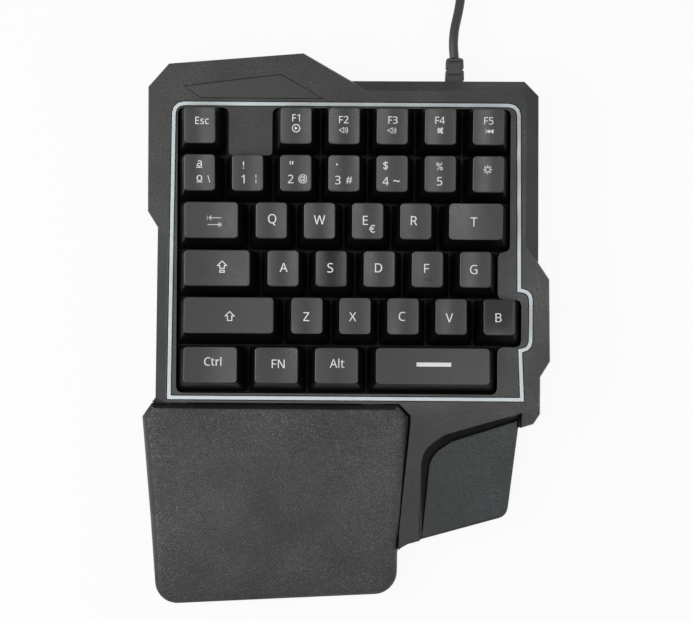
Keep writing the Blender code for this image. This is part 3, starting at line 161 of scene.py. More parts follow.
def moulded_plastic(name, colour, roughness, grain=0.00035, depth=0.000010, contrast=0.10,
                    gloss_spread=0.05):
    """Plastic from a spark-eroded tool: fine pits, faint clouding and a gloss varied by touch."""
    made = bpy.data.materials.new(name)
    made.use_nodes = True
    nodes = made.node_tree.nodes
    links = made.node_tree.links
    shader = nodes["Principled BSDF"]
    place = nodes.new("ShaderNodeTexCoord")
    pits = nodes.new("ShaderNodeTexNoise")
    pits.inputs["Scale"].default_value = 1 / grain
    pits.inputs["Detail"].default_value = pit_detail
    pits.inputs["Roughness"].default_value = pit_roughness
    clouds = nodes.new("ShaderNodeTexNoise")
    clouds.inputs["Scale"].default_value = cloud_scale
    clouds.inputs["Detail"].default_value = cloud_detail
    both = nodes.new("ShaderNodeMath")
    both.operation = "MULTIPLY_ADD"
    both.inputs[1].default_value = pit_share
    tint = nodes.new("ShaderNodeValToRGB")
    tint.color_ramp.elements[0].position = mixed_low
    tint.color_ramp.elements[1].position = mixed_high
    tint.color_ramp.elements[0].color = (*[part * (1 - contrast) for part in colour], 1)
    tint.color_ramp.elements[1].color = (*[part * (1 + contrast) for part in colour], 1)
    gloss = nodes.new("ShaderNodeMapRange")
    gloss.inputs["From Min"].default_value = mixed_low
    gloss.inputs["From Max"].default_value = mixed_high
    gloss.inputs["To Min"].default_value = roughness + gloss_spread
    gloss.inputs["To Max"].default_value = roughness - gloss_spread
    bump = nodes.new("ShaderNodeBump")
    bump.inputs["Distance"].default_value = depth
    links.new(place.outputs["Object"], pits.inputs["Vector"])
    links.new(place.outputs["Object"], clouds.inputs["Vector"])
    links.new(pits.outputs["Fac"], both.inputs[0])
    links.new(clouds.outputs["Fac"], both.inputs[2])
    links.new(both.outputs["Value"], tint.inputs["Fac"])
    links.new(tint.outputs["Color"], shader.inputs["Base Color"])
    links.new(both.outputs["Value"], gloss.inputs["Value"])
    links.new(gloss.outputs["Result"], shader.inputs["Roughness"])
    links.new(pits.outputs["Fac"], bump.inputs["Height"])
    links.new(bump.outputs["Normal"], shader.inputs["Normal"])
    return made


boot_low, boot_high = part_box("strain_relief")
boot_middle = (boot_low + boot_high) / 2
lead_exit = Vector((boot_middle.x, boot_high.y, boot_middle.z))
lead_start = lead_exit - Vector((0, lead_sunk, 0))
lead_points = smooth_route([lead_start] + [Vector(point) for point in lead_route]) + coil_line()
lead_curve = bpy.data.curves.new("lead", "CURVE")
lead_curve.dimensions = "3D"
lead_curve.bevel_depth = lead_radius
lead_curve.bevel_resolution = lead_facets
lead_curve.use_fill_caps = True
lead_line = lead_curve.splines.new("POLY")
lead_line.points.add(len(lead_points) - 1)
for knot, point in zip(lead_line.points, lead_points):
    knot.co = (*point, 1)
lead_line.use_smooth = True
jacket = moulded_plastic("lead_jacket", (0.024, 0.024, 0.026), 0.42, grain=0.0005,
                         depth=0.000008)
lead_curve.materials.append(jacket)
lead = bpy.data.objects.new("lead", lead_curve)
bpy.context.scene.collection.objects.link(lead)
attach(lead, "case")
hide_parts("cord_run", "cord_coil")


# The strain relief is a soft boot moulded on the lead, notched so that it bends. Its neck passes
# the rear wall and its flange is trapped inside the case.
boot_rounding = 0.0003
weld_distance = 0.00001
flat_angle = math.radians(0.5)
edge_angle = math.radians(30)
smooth_angle = math.radians(35)


def alone(piece):
    """Select just one piece and make it the active one."""
    bpy.ops.object.select_all(action="DESELECT")
    piece.select_set(True)
    bpy.context.view_layer.objects.active = piece


def moulding(node, finish, width, segments=2):
    """A part of the frame as it leaves its tool: edges rounded, wide faces shaded flat."""
    solid = frame["nodes"][node]
    piece = bpy.data.objects.new(node + "_moulding", solid.data.copy())
    bpy.context.scene.collection.objects.link(piece)
    piece.data.materials.clear()
    piece.data.materials.append(finish)
    alone(piece)
    bpy.ops.object.mode_set(mode="EDIT")
    bpy.ops.mesh.select_all(action="SELECT")
    bpy.ops.mesh.remove_doubles(threshold=weld_distance)
    bpy.ops.mesh.dissolve_limited(angle_limit=flat_angle)
    bpy.ops.object.mode_set(mode="OBJECT")
    rounding = piece.modifiers.new("rounding", "BEVEL")
    rounding.width = width
    rounding.segments = segments
    rounding.limit_method = "ANGLE"
    rounding.angle_limit = edge_angle
    bpy.ops.object.modifier_apply(modifier="rounding")
    bpy.ops.object.shade_smooth_by_angle(angle=smooth_angle)
    flattening = piece.modifiers.new("flattening", "WEIGHTED_NORMAL")
    flattening.keep_sharp = True
    bpy.ops.object.modifier_apply(modifier="flattening")
    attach(piece, solid["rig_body"])
    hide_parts(node)
    return piece


boot = moulding("strain_relief", jacket, boot_rounding)

# The plug is a folded steel shell held in a moulded grip. Two windows are stamped in its upper
# face for the socket's springs.
window_length = 0.0024
window_width = 0.0021
window_share = 0.26
window_setback = 0.0052
grip_rounding = 0.0006
shell_rounding = 0.0001
soft_edge_steps = 3
rolling_grain = 0.0004
rolling_depth = 0.000002
rolling_contrast = 0.04
grip_black = moulded_plastic("plug_overmould", (0.026, 0.026, 0.028), 0.40)
plug_grip = moulding("usb_plug_body", grip_black, grip_rounding, soft_edge_steps)


def metal(name, colour, roughness):
    """Plated metal with fine rolling marks on it."""
    made = moulded_plastic(name, colour, roughness, grain=rolling_grain, depth=rolling_depth,
                           contrast=rolling_contrast)
    made.node_tree.nodes["Principled BSDF"].inputs["Metallic"].default_value = 1.0
    return made


plating = metal("plug_plating", (0.62, 0.61, 0.58), 0.26)
shell = moulding("usb_plug_shell", plating, shell_rounding)
shell_low, shell_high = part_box("usb_plug_shell")
shell_width = shell_high.x - shell_low.x


def cut_away(piece, cutter):
    """Cut a tool's shape out of a piece, then clear the tool away."""
    alone(piece)
    cutting = piece.modifiers.new("cut", "BOOLEAN")
    cutting.operation = "DIFFERENCE"
    cutting.solver = "EXACT"
    cutting.object = cutter
    bpy.ops.object.modifier_apply(modifier="cut")
    bpy.data.objects.remove(cutter, do_unlink=True)


def block(name, middle, size):
    """A plain block as a start for a piece, alone selected, its place and size in its mesh."""
    bpy.ops.object.select_all(action="DESELECT")
    bpy.ops.mesh.primitive_cube_add(size=1, location=middle)
    piece = bpy.context.object
    piece.name = name
    piece.scale = size
    bpy.ops.object.transform_apply(location=True, rotation=True, scale=True)
    return piece


for side in (-1, 1):
    window_x = (shell_low.x + shell_high.x) / 2 + side * window_share * shell_width
    window_y = shell_low.y + window_setback
    cut_away(shell, block("window", (window_x, window_y, shell_high.z),
                          (window_width, window_length, window_width)))

# The tongue is a white insulator pressed into the shell from behind. Four gold-plated contacts
# lie on its upper face, the outer two longer than the inner two.
tongue_rounding = 0.0002
contact_width = 0.0010
contact_pitch = 0.0024
contact_height = 0.00016
contact_lengths = (0.0074, 0.0064, 0.0064, 0.0074)
contact_setback = 0.0006
middle_number = (len(contact_lengths) - 1) / 2
insulator = moulded_plastic("plug_insulator", (0.70, 0.70, 0.67), 0.4, contrast=0.03)
tongue = moulding("usb_plug_tongue", insulator, tongue_rounding)
tongue_low, tongue_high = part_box("usb_plug_tongue")
gold = metal("contact_gold", (0.78, 0.56, 0.22), 0.22)
for number, length in enumerate(contact_lengths):
    contact_x = (tongue_low.x + tongue_high.x) / 2 + (number - middle_number) * contact_pitch
    contact_y = tongue_low.y + contact_setback + length / 2
    contact = block(f"plug_contact_{number + 1}", (contact_x, contact_y, tongue_high.z),
                    (contact_width, length, 2 * contact_height))
    bpy.ops.object.mode_set(mode="EDIT")
    bpy.ops.mesh.select_all(action="SELECT")
    bpy.ops.mesh.bevel(offset=contact_height / 2, segments=2)
    bpy.ops.object.mode_set(mode="OBJECT")
    contact.data.materials.append(gold)
    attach(contact, "case")

# A black fabric tie holds the coil's turns together on the side that faces the keypad. Its end
# laps over itself on top.
tie_width = 0.0120
tie_thickness = 0.00028
tie_room = 0.00006
tie_round = 0.0034
tie_round_steps = 6
tie_lap_share = 0.45
tie_sheen = 0.4
tie_smooth_angle = math.radians(40)
facing = 0.9
outward = 1
inward = -1
coil_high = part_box("cord_coil")[1]
coil_x = coil_start.x - coil_middle_radius - coil_pitch * turns_in / 2
tie_far = coil_start.y - coil_middle_radius + coil_pitch * turns_in / 2 + lead_radius
tie_near = coil_start.y - coil_middle_radius - coil_pitch * turns_in / 2 - lead_radius
tie_top = coil_high.z + tie_room
tie_bottom = lead_rest - lead_radius - tie_room
tie = block("lead_tie", (coil_x, (tie_near + tie_far) / 2, (tie_top + tie_bottom) / 2),
            (tie_width, tie_far - tie_near, tie_top - tie_bottom))


def choose(piece, kind, wanted):
    """In edit mode, select just the faces, edges or vertices that a rule names."""
    modes = {"polygons": "FACE", "edges": "EDGE", "vertices": "VERT"}
    bpy.ops.mesh.select_all(action="DESELECT")
    bpy.ops.mesh.select_mode(type=modes[kind])
    bpy.ops.object.mode_set(mode="OBJECT")
    for element in getattr(piece.data, kind):
        element.select = wanted(element)
    bpy.ops.object.mode_set(mode="EDIT")


bpy.ops.object.mode_set(mode="EDIT")
choose(tie, "polygons", lambda face: abs(face.normal.x) > facing)
bpy.ops.mesh.delete(type="FACE")


def thicken(piece, thickness, way, angle):
    """Give a sheet its wall, to the outer or the inner side, and shade its soft bends smooth."""
    alone(piece)
    thickening = piece.modifiers.new("thickening", "SOLIDIFY")
    thickening.thickness = thickness
    thickening.offset = way
    bpy.ops.object.modifier_apply(modifier="thickening")
    bpy.ops.object.shade_smooth_by_angle(angle=angle)


def along_x(edge):
    """Whether an edge of the tie runs across the strap."""
    a, b = [tie.data.vertices[index].co for index in edge.vertices]
    return abs(a.x - b.x) > tie_width / 2


choose(tie, "edges", along_x)
bpy.ops.mesh.bevel(offset=tie_round, segments=tie_round_steps)
bpy.ops.object.mode_set(mode="OBJECT")
lap = bpy.data.objects.new("lead_tie_lap", tie.data.copy())
bpy.context.scene.collection.objects.link(lap)
tie_weave = moulded_plastic("tie_fabric", (0.018, 0.018, 0.019), 0.85, grain=0.0004,
                            depth=0.00006, contrast=0.3)
tie_weave.node_tree.nodes["Principled BSDF"].inputs["Sheen Weight"].default_value = tie_sheen
for strap in (tie, lap):
    alone(strap)
    if strap == lap:
        lap_start = tie_near + tie_lap_share * (tie_far - tie_near)
        bpy.ops.object.mode_set(mode="EDIT")
        choose(lap, "polygons",
               lambda face: face.center.z > tie_top - tie_thickness and face.center.y < tie_far)
        bpy.ops.mesh.select_all(action="INVERT")
        bpy.ops.mesh.delete(type="FACE")
        bpy.ops.mesh.select_all(action="SELECT")
        bpy.ops.transform.translate(value=(0, 0, 2 * tie_thickness))
        bpy.ops.mesh.bisect(plane_co=(coil_x, lap_start, tie_top), plane_no=(0, 1, 0),
                            clear_inner=True)
        bpy.ops.object.mode_set(mode="OBJECT")
    thicken(strap, tie_thickness, outward, tie_smooth_angle)
    strap.data.materials.append(tie_weave)
    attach(strap, "case")

# The bottom cover is a shallow black tray with a chamfered foot, ribs and screw bosses inside,
# moulded in the same plastic as the top but smoother.
tray_rounding = 0.0003
base_black = moulded_plastic("base_plastic", (0.032, 0.032, 0.032), 0.52)
moulding("bottom_cover", base_black, tray_rounding)

# Eight self-tapping screws with pan heads and cross recesses hold the tray to the posts of the
# case top and the palm rest. They sit deep in their counterbores.
screw_head_radius = 0.0024
screw_head_height = 0.0015
screw_head_face = 0.0029
screw_shank_radius = 0.0011
screw_shank_length = 0.0060
screw_cross_length = 0.0026
screw_cross_width = 0.0006
screw_facets = 20
screw_rim_share = 0.6
screw_rim_steps = 4
quad_corners = 4
screw_places = (
    (-0.0752, 0.0718), (-0.0717, 0.0983), (-0.0041, 0.0973), (0.0646, 0.0955),
    (-0.0644, -0.0375), (0.0136, -0.0375), (-0.0611, -0.1000), (0.0109, -0.0965),
)
blackened = metal("screw_steel", (0.16, 0.16, 0.165), 0.35)


def draw_up(rise):
    """Draw the chosen faces straight up into a wall."""
    bpy.ops.mesh.extrude_region_move(TRANSFORM_OT_translate={"value": (0, 0, rise)})


def shifted_copy(piece, shift):
    """A copy of a finished piece, moved within its mesh."""
    made = bpy.data.objects.new(piece.name, piece.data.copy())
    bpy.context.scene.collection.objects.link(made)
    for vertex in made.data.vertices:
        vertex.co += shift
    return made


def screw(place):
    """One screw: a head with a rounded rim, a shank drawn from its upper face, a cross recess."""
    head_middle = screw_head_face + screw_head_height / 2
    bpy.ops.object.select_all(action="DESELECT")
    bpy.ops.mesh.primitive_cylinder_add(vertices=screw_facets, radius=screw_head_radius,
                                        depth=screw_head_height, location=(*place, head_middle))
    piece = bpy.context.object
    bpy.ops.object.transform_apply(location=True, rotation=True, scale=True)
    bpy.ops.object.mode_set(mode="EDIT")
    choose(piece, "polygons", lambda face: face.normal.z > facing)
    bpy.ops.mesh.inset(thickness=screw_head_radius - screw_shank_radius)
    draw_up(screw_shank_length)
    choose(piece, "polygons",
           lambda face: face.normal.z < -facing and len(face.vertices) > quad_corners)
    bpy.ops.mesh.region_to_loop()
    bpy.ops.mesh.bevel(offset=screw_head_height * screw_rim_share, segments=screw_rim_steps)
    bpy.ops.object.mode_set(mode="OBJECT")
    for size in ((screw_cross_length, screw_cross_width),
                 (screw_cross_width, screw_cross_length)):
        cut_away(piece, block("driver", (*place, screw_head_face), (*size, screw_head_height)))
    bpy.ops.object.shade_smooth_by_angle(angle=smooth_angle)
    piece.data.materials.append(blackened)
    return piece


first_screw = screw(screw_places[0])
for number, place in enumerate(screw_places):
    shift = Vector((*place, 0)) - Vector((*screw_places[0], 0))
    piece = shifted_copy(first_screw, shift) if number else first_screw
    piece.name = f"screw_{number + 1}"
    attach(piece, "case")

# Four rubber feet are stuck in shallow seats under the tray. Two fold-out legs of hard plastic
# lie in pockets at the rear and turn on stub pins.
foot_rounding = 0.0002
leg_rounding = 0.00025
rubber = moulded_plastic("foot_rubber", (0.016, 0.016, 0.016), 0.8, grain=0.0005, depth=0.00003)
leg_black = moulded_plastic("leg_plastic", (0.028, 0.028, 0.028), 0.48)
for corner in ("rear_left", "rear_right", "front_left", "front_right"):
    moulding("foot_" + corner, rubber, foot_rounding)
for side in ("left", "right"):
    moulding("tilt_leg_" + side, leg_black, leg_rounding)

# Inside lie the controller on its green laminate, the white back-light board and the printed
# membrane. They show only through gaps, so their solids are kept.
inner_finishes = {
    "controller_board": ((0.015, 0.10, 0.04), 0.4),
    "backlight_board": ((0.70, 0.70, 0.67), 0.45),
    "membrane_sheet": ((0.35, 0.42, 0.42), 0.3),
}
for node, (colour, roughness) in inner_finishes.items():
    finish = moulded_plastic(node + "_finish", colour, roughness)
    frame["nodes"][node].data.materials.clear()
    frame["nodes"][node].data.materials.append(finish)

# A moulded silicone mat lies on the membrane, with one springy dome under each cap. A dome gives
# way under its cap's stem; each is a piece of its own.
dome_foot = 0.0038
dome_shoulder = (0.80, 0.0026)
dome_pad = (0.78, 0.0009)
dome_wall = 0.0005
dome_reach = 0.006
dome_facets = 24
mat_thickness = 0.0005
mat_rounding = 0.00004
silicone = moulded_plastic("dome_silicone", (0.58, 0.60, 0.60), 0.5)
mat_low, mat_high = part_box("dome_sheet")
mat_top = mat_low.z + mat_thickness
dome_tops = [vertex.co for vertex in frame["nodes"]["dome_sheet"].data.vertices
             if vertex.co.z > mat_high.z - mat_thickness]
mat = moulding("dome_sheet", silicone, mat_rounding)
mat_middle = (mat_low + mat_high) / 2
mat_size = mat_high - mat_low
cut_away(mat, block("trim", (mat_middle.x, mat_middle.y, mat_top + mat_size.z / 2),
                    (2 * mat_size.x, 2 * mat_size.y, mat_size.z)))


def middle_from_above(points):
    """The middle of the box round some points, seen from above."""
    xs = [point.x for point in points]
    ys = [point.y for point in points]
    return (min(xs) + max(xs)) / 2, (min(ys) + max(ys)) / 2


def dome_place(node):
    """The middle of the dome under a cap, on the mat."""
    low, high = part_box(node)
    middle = (low + high) / 2
    near = [top for top in dome_tops
            if max(abs(top.x - middle.x), abs(top.y - middle.y)) < dome_reach]
    return Vector((*middle_from_above(near), mat_top))


def dome(place):
    """One dome: a foot drawn up into a leaning skirt and a pad, hollowed to an even wall."""
    bpy.ops.object.select_all(action="DESELECT")
    bpy.ops.mesh.primitive_circle_add(vertices=dome_facets, radius=dome_foot, fill_type="NGON",
                                      location=place)
    piece = bpy.context.object
    bpy.ops.object.transform_apply(location=True, rotation=True, scale=True)
    bpy.ops.object.mode_set(mode="EDIT")
    bpy.ops.mesh.select_mode(type="FACE")
    bpy.ops.mesh.select_all(action="SELECT")
    for share, rise in (dome_shoulder, dome_pad):
        draw_up(rise)
        bpy.ops.transform.resize(value=(share, share, 1), center_override=place)
    choose(piece, "polygons", lambda face: (len(face.vertices) > quad_corners
                                            and face.center.z < place.z + dome_wall))
    bpy.ops.mesh.delete(type="ONLY_FACE")
    bpy.ops.mesh.select_all(action="SELECT")
    bpy.ops.mesh.normals_make_consistent(inside=False)
    bpy.ops.object.mode_set(mode="OBJECT")
    thicken(piece, dome_wall, inward, smooth_angle)
    piece.data.materials.append(silicone)
    return piece


cap_nodes = [node for node in sorted(frame["nodes"])
             if node.startswith("key_") and node != "key_plate"]
first_place = dome_place(cap_nodes[0])
first_dome = dome(first_place)
for number, node in enumerate(cap_nodes):
    place = dome_place(node)
    piece = shifted_copy(first_dome, place - first_place) if number else first_dome
    piece.name = node.replace("key_", "dome_")
    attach(piece, "case")
    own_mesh(piece)

# The key plate carries the caps: a black moulding with a thin wall round each cap. Its top is
# spark-eroded to match the case. Its deep wells get a darker colour and a weaker shine as painted
# shade.
plate_rounding = 0.00012
deck_band = 0.0004
well_shade_shine = 0.12


def dull(finish, shine):
    """Set a finish's surface shine lower than the usual 0.5."""
    finish.node_tree.nodes["Principled BSDF"].inputs["Specular IOR Level"].default_value = shine


# Painted shade: the deep wells are made darker and duller than the case plastic.
painted_well_shade = moulded_plastic("well_painted_shade", (0.003, 0.003, 0.003), 0.35)
dull(painted_well_shade, well_shade_shine)
case_grain = moulded_plastic("case_plastic", (0.007, 0.0074, 0.0066), 0.34, grain=0.0008,
                             depth=0.00013, contrast=1.0, gloss_spread=0.08)
plate = moulding("key_plate", case_grain, plate_rounding)
plate.data.materials.append(painted_well_shade)
deck_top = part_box("key_plate")[1].z
# Faces below the deck's top take the painted shade of the wells.
for face in plate.data.polygons:
    face.material_index = 0 if face.center.z > deck_top - deck_band else 1

# The light ring is a pale bar of diffusing plastic pressed into the deck round the keys. It
# stands just proud of the deck and isn't lit.
ring_rounding = 0.0002
ring_pale = moulded_plastic("ring_diffuser", (0.44, 0.48, 0.50), 0.38, depth=0.000004,
                            contrast=0.03)
moulding("light_ring", ring_pale, ring_rounding, soft_edge_steps)

# The case top is one moulding: the frame round the keys, its sloping sides and the front arm.
# The steep wall of the thumb hollow and the lip at the palm rest are painted darker and duller,
# as painted shade. The bare badge panel is set flush.
hollow_corner = (0.030, -0.030)
hollow_slants = (-0.2, 0.85)
hollow_turn = 0.1
hollow_shade_shine = 0.2
lip_rear_y = -0.0284
lip_right_x = 0.021
lip_slant = 0.98
cover_rounding = 0.0005
badge_rounding = 0.0001
# Painted shade for the steep hollow wall and the palm-rest lip: darker and duller than the case.
painted_hollow_shade = moulded_plastic("hollow_painted_shade", (0.005, 0.005, 0.005), 0.40)
dull(painted_hollow_shade, hollow_shade_shine)
cover = moulding("top_cover", case_grain, cover_rounding, soft_edge_steps)
cover.data.materials.append(painted_hollow_shade)
# Steep faces of the thumb hollow and of the lip take the painted shade.
for face in cover.data.polygons:
    x, y, z = face.center
    in_hollow = x > hollow_corner[0] and y < hollow_corner[1] and face.normal.y < hollow_turn
    on_lip = x < lip_right_x and y < lip_rear_y and face.normal.z < lip_slant
    if on_lip or (in_hollow and hollow_slants[0] < face.normal.z < hollow_slants[1]):
        face.material_index = 1
badge_black = moulded_plastic("badge_plastic", (0.012, 0.012, 0.012), 0.36, grain=0.0004,
                              depth=0.000015)
moulding("badge_panel", badge_black, badge_rounding)

# The palm rest is one hard shell moulded with a leather-like grain. It is highest along the keys,
# where a short steep band drops to the palm, then crowned and falling to the front. The band dies
# out at both ends, and the edge rolls over into low side walls.
leather_pit = 0.0005
leather_pit_ratio = 6
leather_contrast = 0.8
leather_gloss = 0.08
leather_wander = 3
leather_joint = 0.22
band_shade_shine = 0.12


def leather_grain(name, colour, roughness, cell=0.0010, depth=0.00011):
    """Hard plastic moulded with a leather grain: small islands with low joints between them."""
    made = moulded_plastic(name, colour, roughness, grain=leather_pit,
                           depth=depth / leather_pit_ratio, contrast=leather_contrast,
                           gloss_spread=leather_gloss)
    nodes = made.node_tree.nodes
    links = made.node_tree.links
    place = nodes["Texture Coordinate"]
    wander = nodes.new("ShaderNodeTexNoise")
    wander.inputs["Scale"].default_value = 1 / (leather_wander * cell)
    moved = nodes.new("ShaderNodeMixRGB")
    moved.blend_type = "LINEAR_LIGHT"
    moved.inputs["Fac"].default_value = cell
    islands = nodes.new("ShaderNodeTexVoronoi")
    islands.feature = "DISTANCE_TO_EDGE"
    islands.inputs["Scale"].default_value = 1 / cell
    joints = nodes.new("ShaderNodeMapRange")
    joints.interpolation_type = "SMOOTHSTEP"
    joints.inputs["From Max"].default_value = leather_joint
    grain = nodes.new("ShaderNodeBump")
    grain.inputs["Distance"].default_value = depth
    links.new(place.outputs["Object"], wander.inputs["Vector"])
    links.new(place.outputs["Object"], moved.inputs["Color1"])
    links.new(wander.outputs["Color"], moved.inputs["Color2"])
    links.new(moved.outputs["Color"], islands.inputs["Vector"])
    links.new(islands.outputs["Distance"], joints.inputs["Value"])
    links.new(joints.outputs["Result"], grain.inputs["Height"])
    links.new(nodes["Bump"].outputs["Normal"], grain.inputs["Normal"])
    links.new(grain.outputs["Normal"], nodes["Principled BSDF"].inputs["Normal"])
    return made


palm_grain = leather_grain("palm_grain", (0.0090, 0.0098, 0.0092), 0.36, cell=0.0008,
                           depth=0.00010)
# Painted shade: the steep rear band is darker and duller than the rest of the palm rest.
painted_band_shade = leather_grain("palm_band_painted_shade", (0.004, 0.004, 0.004), 0.45)
dull(painted_band_shade, band_shade_shine)
palm_corners = (
    (-0.07803, -0.02993, 0), (-0.08252, -0.03552, 0), (-0.07911, -0.07423, 0),
    (-0.07628, -0.11216, 0.0088), (0.02149, -0.10704, 0.0088), (0.02179, -0.08221, 0),
    (0.02416, -0.05539, 0), (0.02569, -0.03803, 0), (0.02569, -0.03461, 0),
    (0.02109, -0.02993, 0),
)
palm_corner_steps = 10
palm_long_side = 0.012
palm_side_cuts = 6
palm_foot = 0.0093
palm_wall_top = 0.0112
palm_rear_y = -0.02993
palm_front_y = -0.11216
palm_rear_top = 0.0214
palm_band = 0.0024
palm_high = 0.0186
palm_low = 0.0125
palm_crown = 0.0016
palm_crown_start = 0.1
palm_band_power = 1.5
palm_band_ends = ((-0.0790, 0.0130), (0.0225, 0.0150))
palm_band_slant = 0.97
palm_middle = (-0.0274, -0.0710)
palm_half_width = 0.0500
palm_roll = 0.0040
palm_roll_shares = (0.02, 0.08, 0.18, 0.32, 0.50, 0.74, 1.0)
palm_ring_scales = (0.86, 0.84, 0.80, 0.74, 0.62, 0.4)
palm_level = 0.001
palm_rear_room = 0.0004
palm_smooth_angle = math.radians(50)
palm_wall = 0.0022
palm_screws = screw_places[4:]
palm_post_radius = 0.0024
palm_post_foot = 0.0064
palm_post_facets = 24
seam_drop = 0.0012
seam_x = 0.0140
seam_end_y = -0.0900
seam_blend = (0.004, 0.012)


def palm_edge(x, y):
    """How high the side wall reaches: nearly to the crown along the arm, lower elsewhere."""
    along_arm = eased((x - seam_x) / seam_blend[0]) * eased((y - seam_end_y) / seam_blend[1])
    return palm_wall_top + (palm_surface(x, y) - seam_drop - palm_wall_top) * along_arm


def palm_surface(x, y):
    """How high the palm rest's crown is at a place."""
    share = (palm_rear_y - y) / (palm_rear_y - palm_front_y)
    slope = palm_high + (palm_low - palm_high) * share ** 2
    across = (x - palm_middle[0]) / palm_half_width
    crown = palm_crown * (1 - across ** 2) * math.sin(math.pi * min(1, share + palm_crown_start))
    band = max(0.0, 1 - (palm_rear_y - y) / palm_band) ** palm_band_power
    (left_end, left_fade), (right_end, right_fade) = palm_band_ends
    band *= eased((x - left_end) / left_fade) * eased((right_end - x) / right_fade)
    return slope + crown + (palm_rear_top - palm_high) * band


bpy.ops.object.select_all(action="DESELECT")
bpy.ops.mesh.primitive_circle_add(vertices=len(palm_corners), fill_type="NGON")
palm = bpy.context.object
palm.name = "palm_shell"
for vertex, (x, y, reach) in zip(palm.data.vertices, palm_corners):
    vertex.co = (x, y, palm_foot)
bpy.ops.object.mode_set(mode="EDIT")
for x, y, reach in palm_corners:
    if reach:
        corner = Vector((x, y, palm_foot))
        choose(palm, "vertices", lambda vertex: (vertex.co - corner).length < palm_level)
        bpy.ops.mesh.bevel(offset=reach, segments=palm_corner_steps, affect="VERTICES")


def longer(edge):
    """Whether an edge of the palm rest is one of its long sides."""
    a, b = [palm.data.vertices[index].co for index in edge.vertices]
    return (a - b).length > palm_long_side


choose(palm, "edges", longer)
bpy.ops.mesh.subdivide(number_cuts=palm_side_cuts)
bpy.ops.mesh.select_mode(type="FACE")
bpy.ops.mesh.select_all(action="SELECT")
bpy.ops.mesh.normals_make_consistent(inside=False)
draw_up(palm_level)
last_share = 0
for share in palm_roll_shares:
    bpy.ops.mesh.inset(thickness=palm_roll * (share - last_share))
    bpy.ops.transform.translate(value=(0, 0, palm_level))
    last_share = share
for scale in palm_ring_scales:
    draw_up(palm_level)
    bpy.ops.transform.resize(value=(scale, scale, 1), center_override=(*palm_middle, 0))
draw_up(palm_level)
bpy.ops.mesh.merge(type="CENTER")
bpy.ops.mesh.select_all(action="SELECT")
bpy.ops.mesh.normals_make_consistent(inside=False)
choose(palm, "polygons", lambda face: face.normal.z < -facing)
bpy.ops.mesh.delete(type="ONLY_FACE")
bpy.ops.object.mode_set(mode="OBJECT")
roll_heights = [0.0, 0.0] + list(palm_roll_shares)
for vertex in palm.data.vertices:
    x, y, z = vertex.co
    level = round((z - palm_foot) / palm_level)
    share = roll_heights[level] if level < len(roll_heights) else 1.0
    if level:
        if y > palm_rear_y - palm_roll * share - palm_rear_room:
            vertex.co.z = palm_surface(x, y)
        else:
            rise = math.sqrt(1 - (1 - share) ** 2)
            vertex.co.z = palm_edge(x, y) + (palm_surface(x, y) - palm_edge(x, y)) * rise
thicken(palm, palm_wall, inward, palm_smooth_angle)
posts = []
for x, y in palm_screws:
    post_top = palm_surface(x, y) - palm_wall / 2
    bpy.ops.mesh.primitive_cylinder_add(vertices=palm_post_facets, radius=palm_post_radius,
                                        depth=post_top - palm_post_foot,
                                        location=(x, y, (post_top + palm_post_foot) / 2))
    posts.append(bpy.context.object)
bpy.ops.object.select_all(action="DESELECT")
for piece in [palm] + posts:
    piece.select_set(True)
bpy.context.view_layer.objects.active = palm
bpy.ops.object.join()
palm.data.materials.append(palm_grain)
palm.data.materials.append(painted_band_shade)
# The steep rear band takes the painted shade.
for face in palm.data.polygons:
    if face.center.y > palm_rear_y - palm_band and face.normal.z < palm_band_slant:
        face.material_index = 1
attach(palm, "case")
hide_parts("palm_rest")

# The thumb rest is a separate hard plate pressed into the arm's hollow, with a finer grain than
# the palm rest's and a soft edge.
thumb_rounding = 0.0008
thumb_shine = 0.42
thumb_grain = leather_grain("thumb_grain", (0.003, 0.0055, 0.006), 0.34, cell=0.0006,
                            depth=0.00003)
dull(thumb_grain, thumb_shine)
moulding("thumb_pad", thumb_grain, thumb_rounding, soft_edge_steps)

# The caps are moulded in black and sprayed satin on top, where the spray catches the light. The
# sides are bare glossy plastic, made darker and duller than the tops as painted shade. The S cap
# has been polished by use. The B cap is eased a hair where it passes the step in the key plate's
# wall.
cap_rounding = 0.0004
side_shine_and_shade = 0.2
polished_shine = 0.35
top_slant = 0.7
step_y = 0.01274
step_room = 0.00008
cap_satin = moulded_plastic("cap_satin", (0.0080, 0.0092, 0.0086), 0.30, grain=0.0004,
                            depth=0.000010)
# Cap sides: bare plastic, partly painted shade, darker and duller than the tops.
cap_sides_gloss_and_shade = moulded_plastic("cap_sides_gloss_and_shade", (0.003, 0.003, 0.003), 0.30, depth=0.000003)
dull(cap_sides_gloss_and_shade, side_shine_and_shade)
cap_polished = moulded_plastic("cap_polished", (0.004, 0.004, 0.004), 0.22, grain=0.0007,
                               depth=0.00003, gloss_spread=0.08)
dull(cap_polished, polished_shine)
caps = {}
for node in cap_nodes:
    top_finish = cap_polished if node == "key_s" else cap_satin
    cap = moulding(node, top_finish, cap_rounding, soft_edge_steps)
    cap.data.materials.append(cap_sides_gloss_and_shade)
    # Steep faces take the sides' finish with its painted shade.
    for face in cap.data.polygons:
        face.material_index = 0 if face.normal.z > top_slant else 1
    caps[node.removeprefix("key_")] = cap
for vertex in caps["b"].data.vertices:
    vertex.co.y = min(vertex.co.y, step_y - step_room)

# The stabiliser wires under the two widest caps are bright spring steel, bent at both ends. They
# turn in hooks on the key plate and lift the hooks under their caps.
for name in ("space", "shift"):
    wire = frame["nodes"]["wire_" + name]
    wire.data.materials.clear()
    wire.data.materials.append(plating)

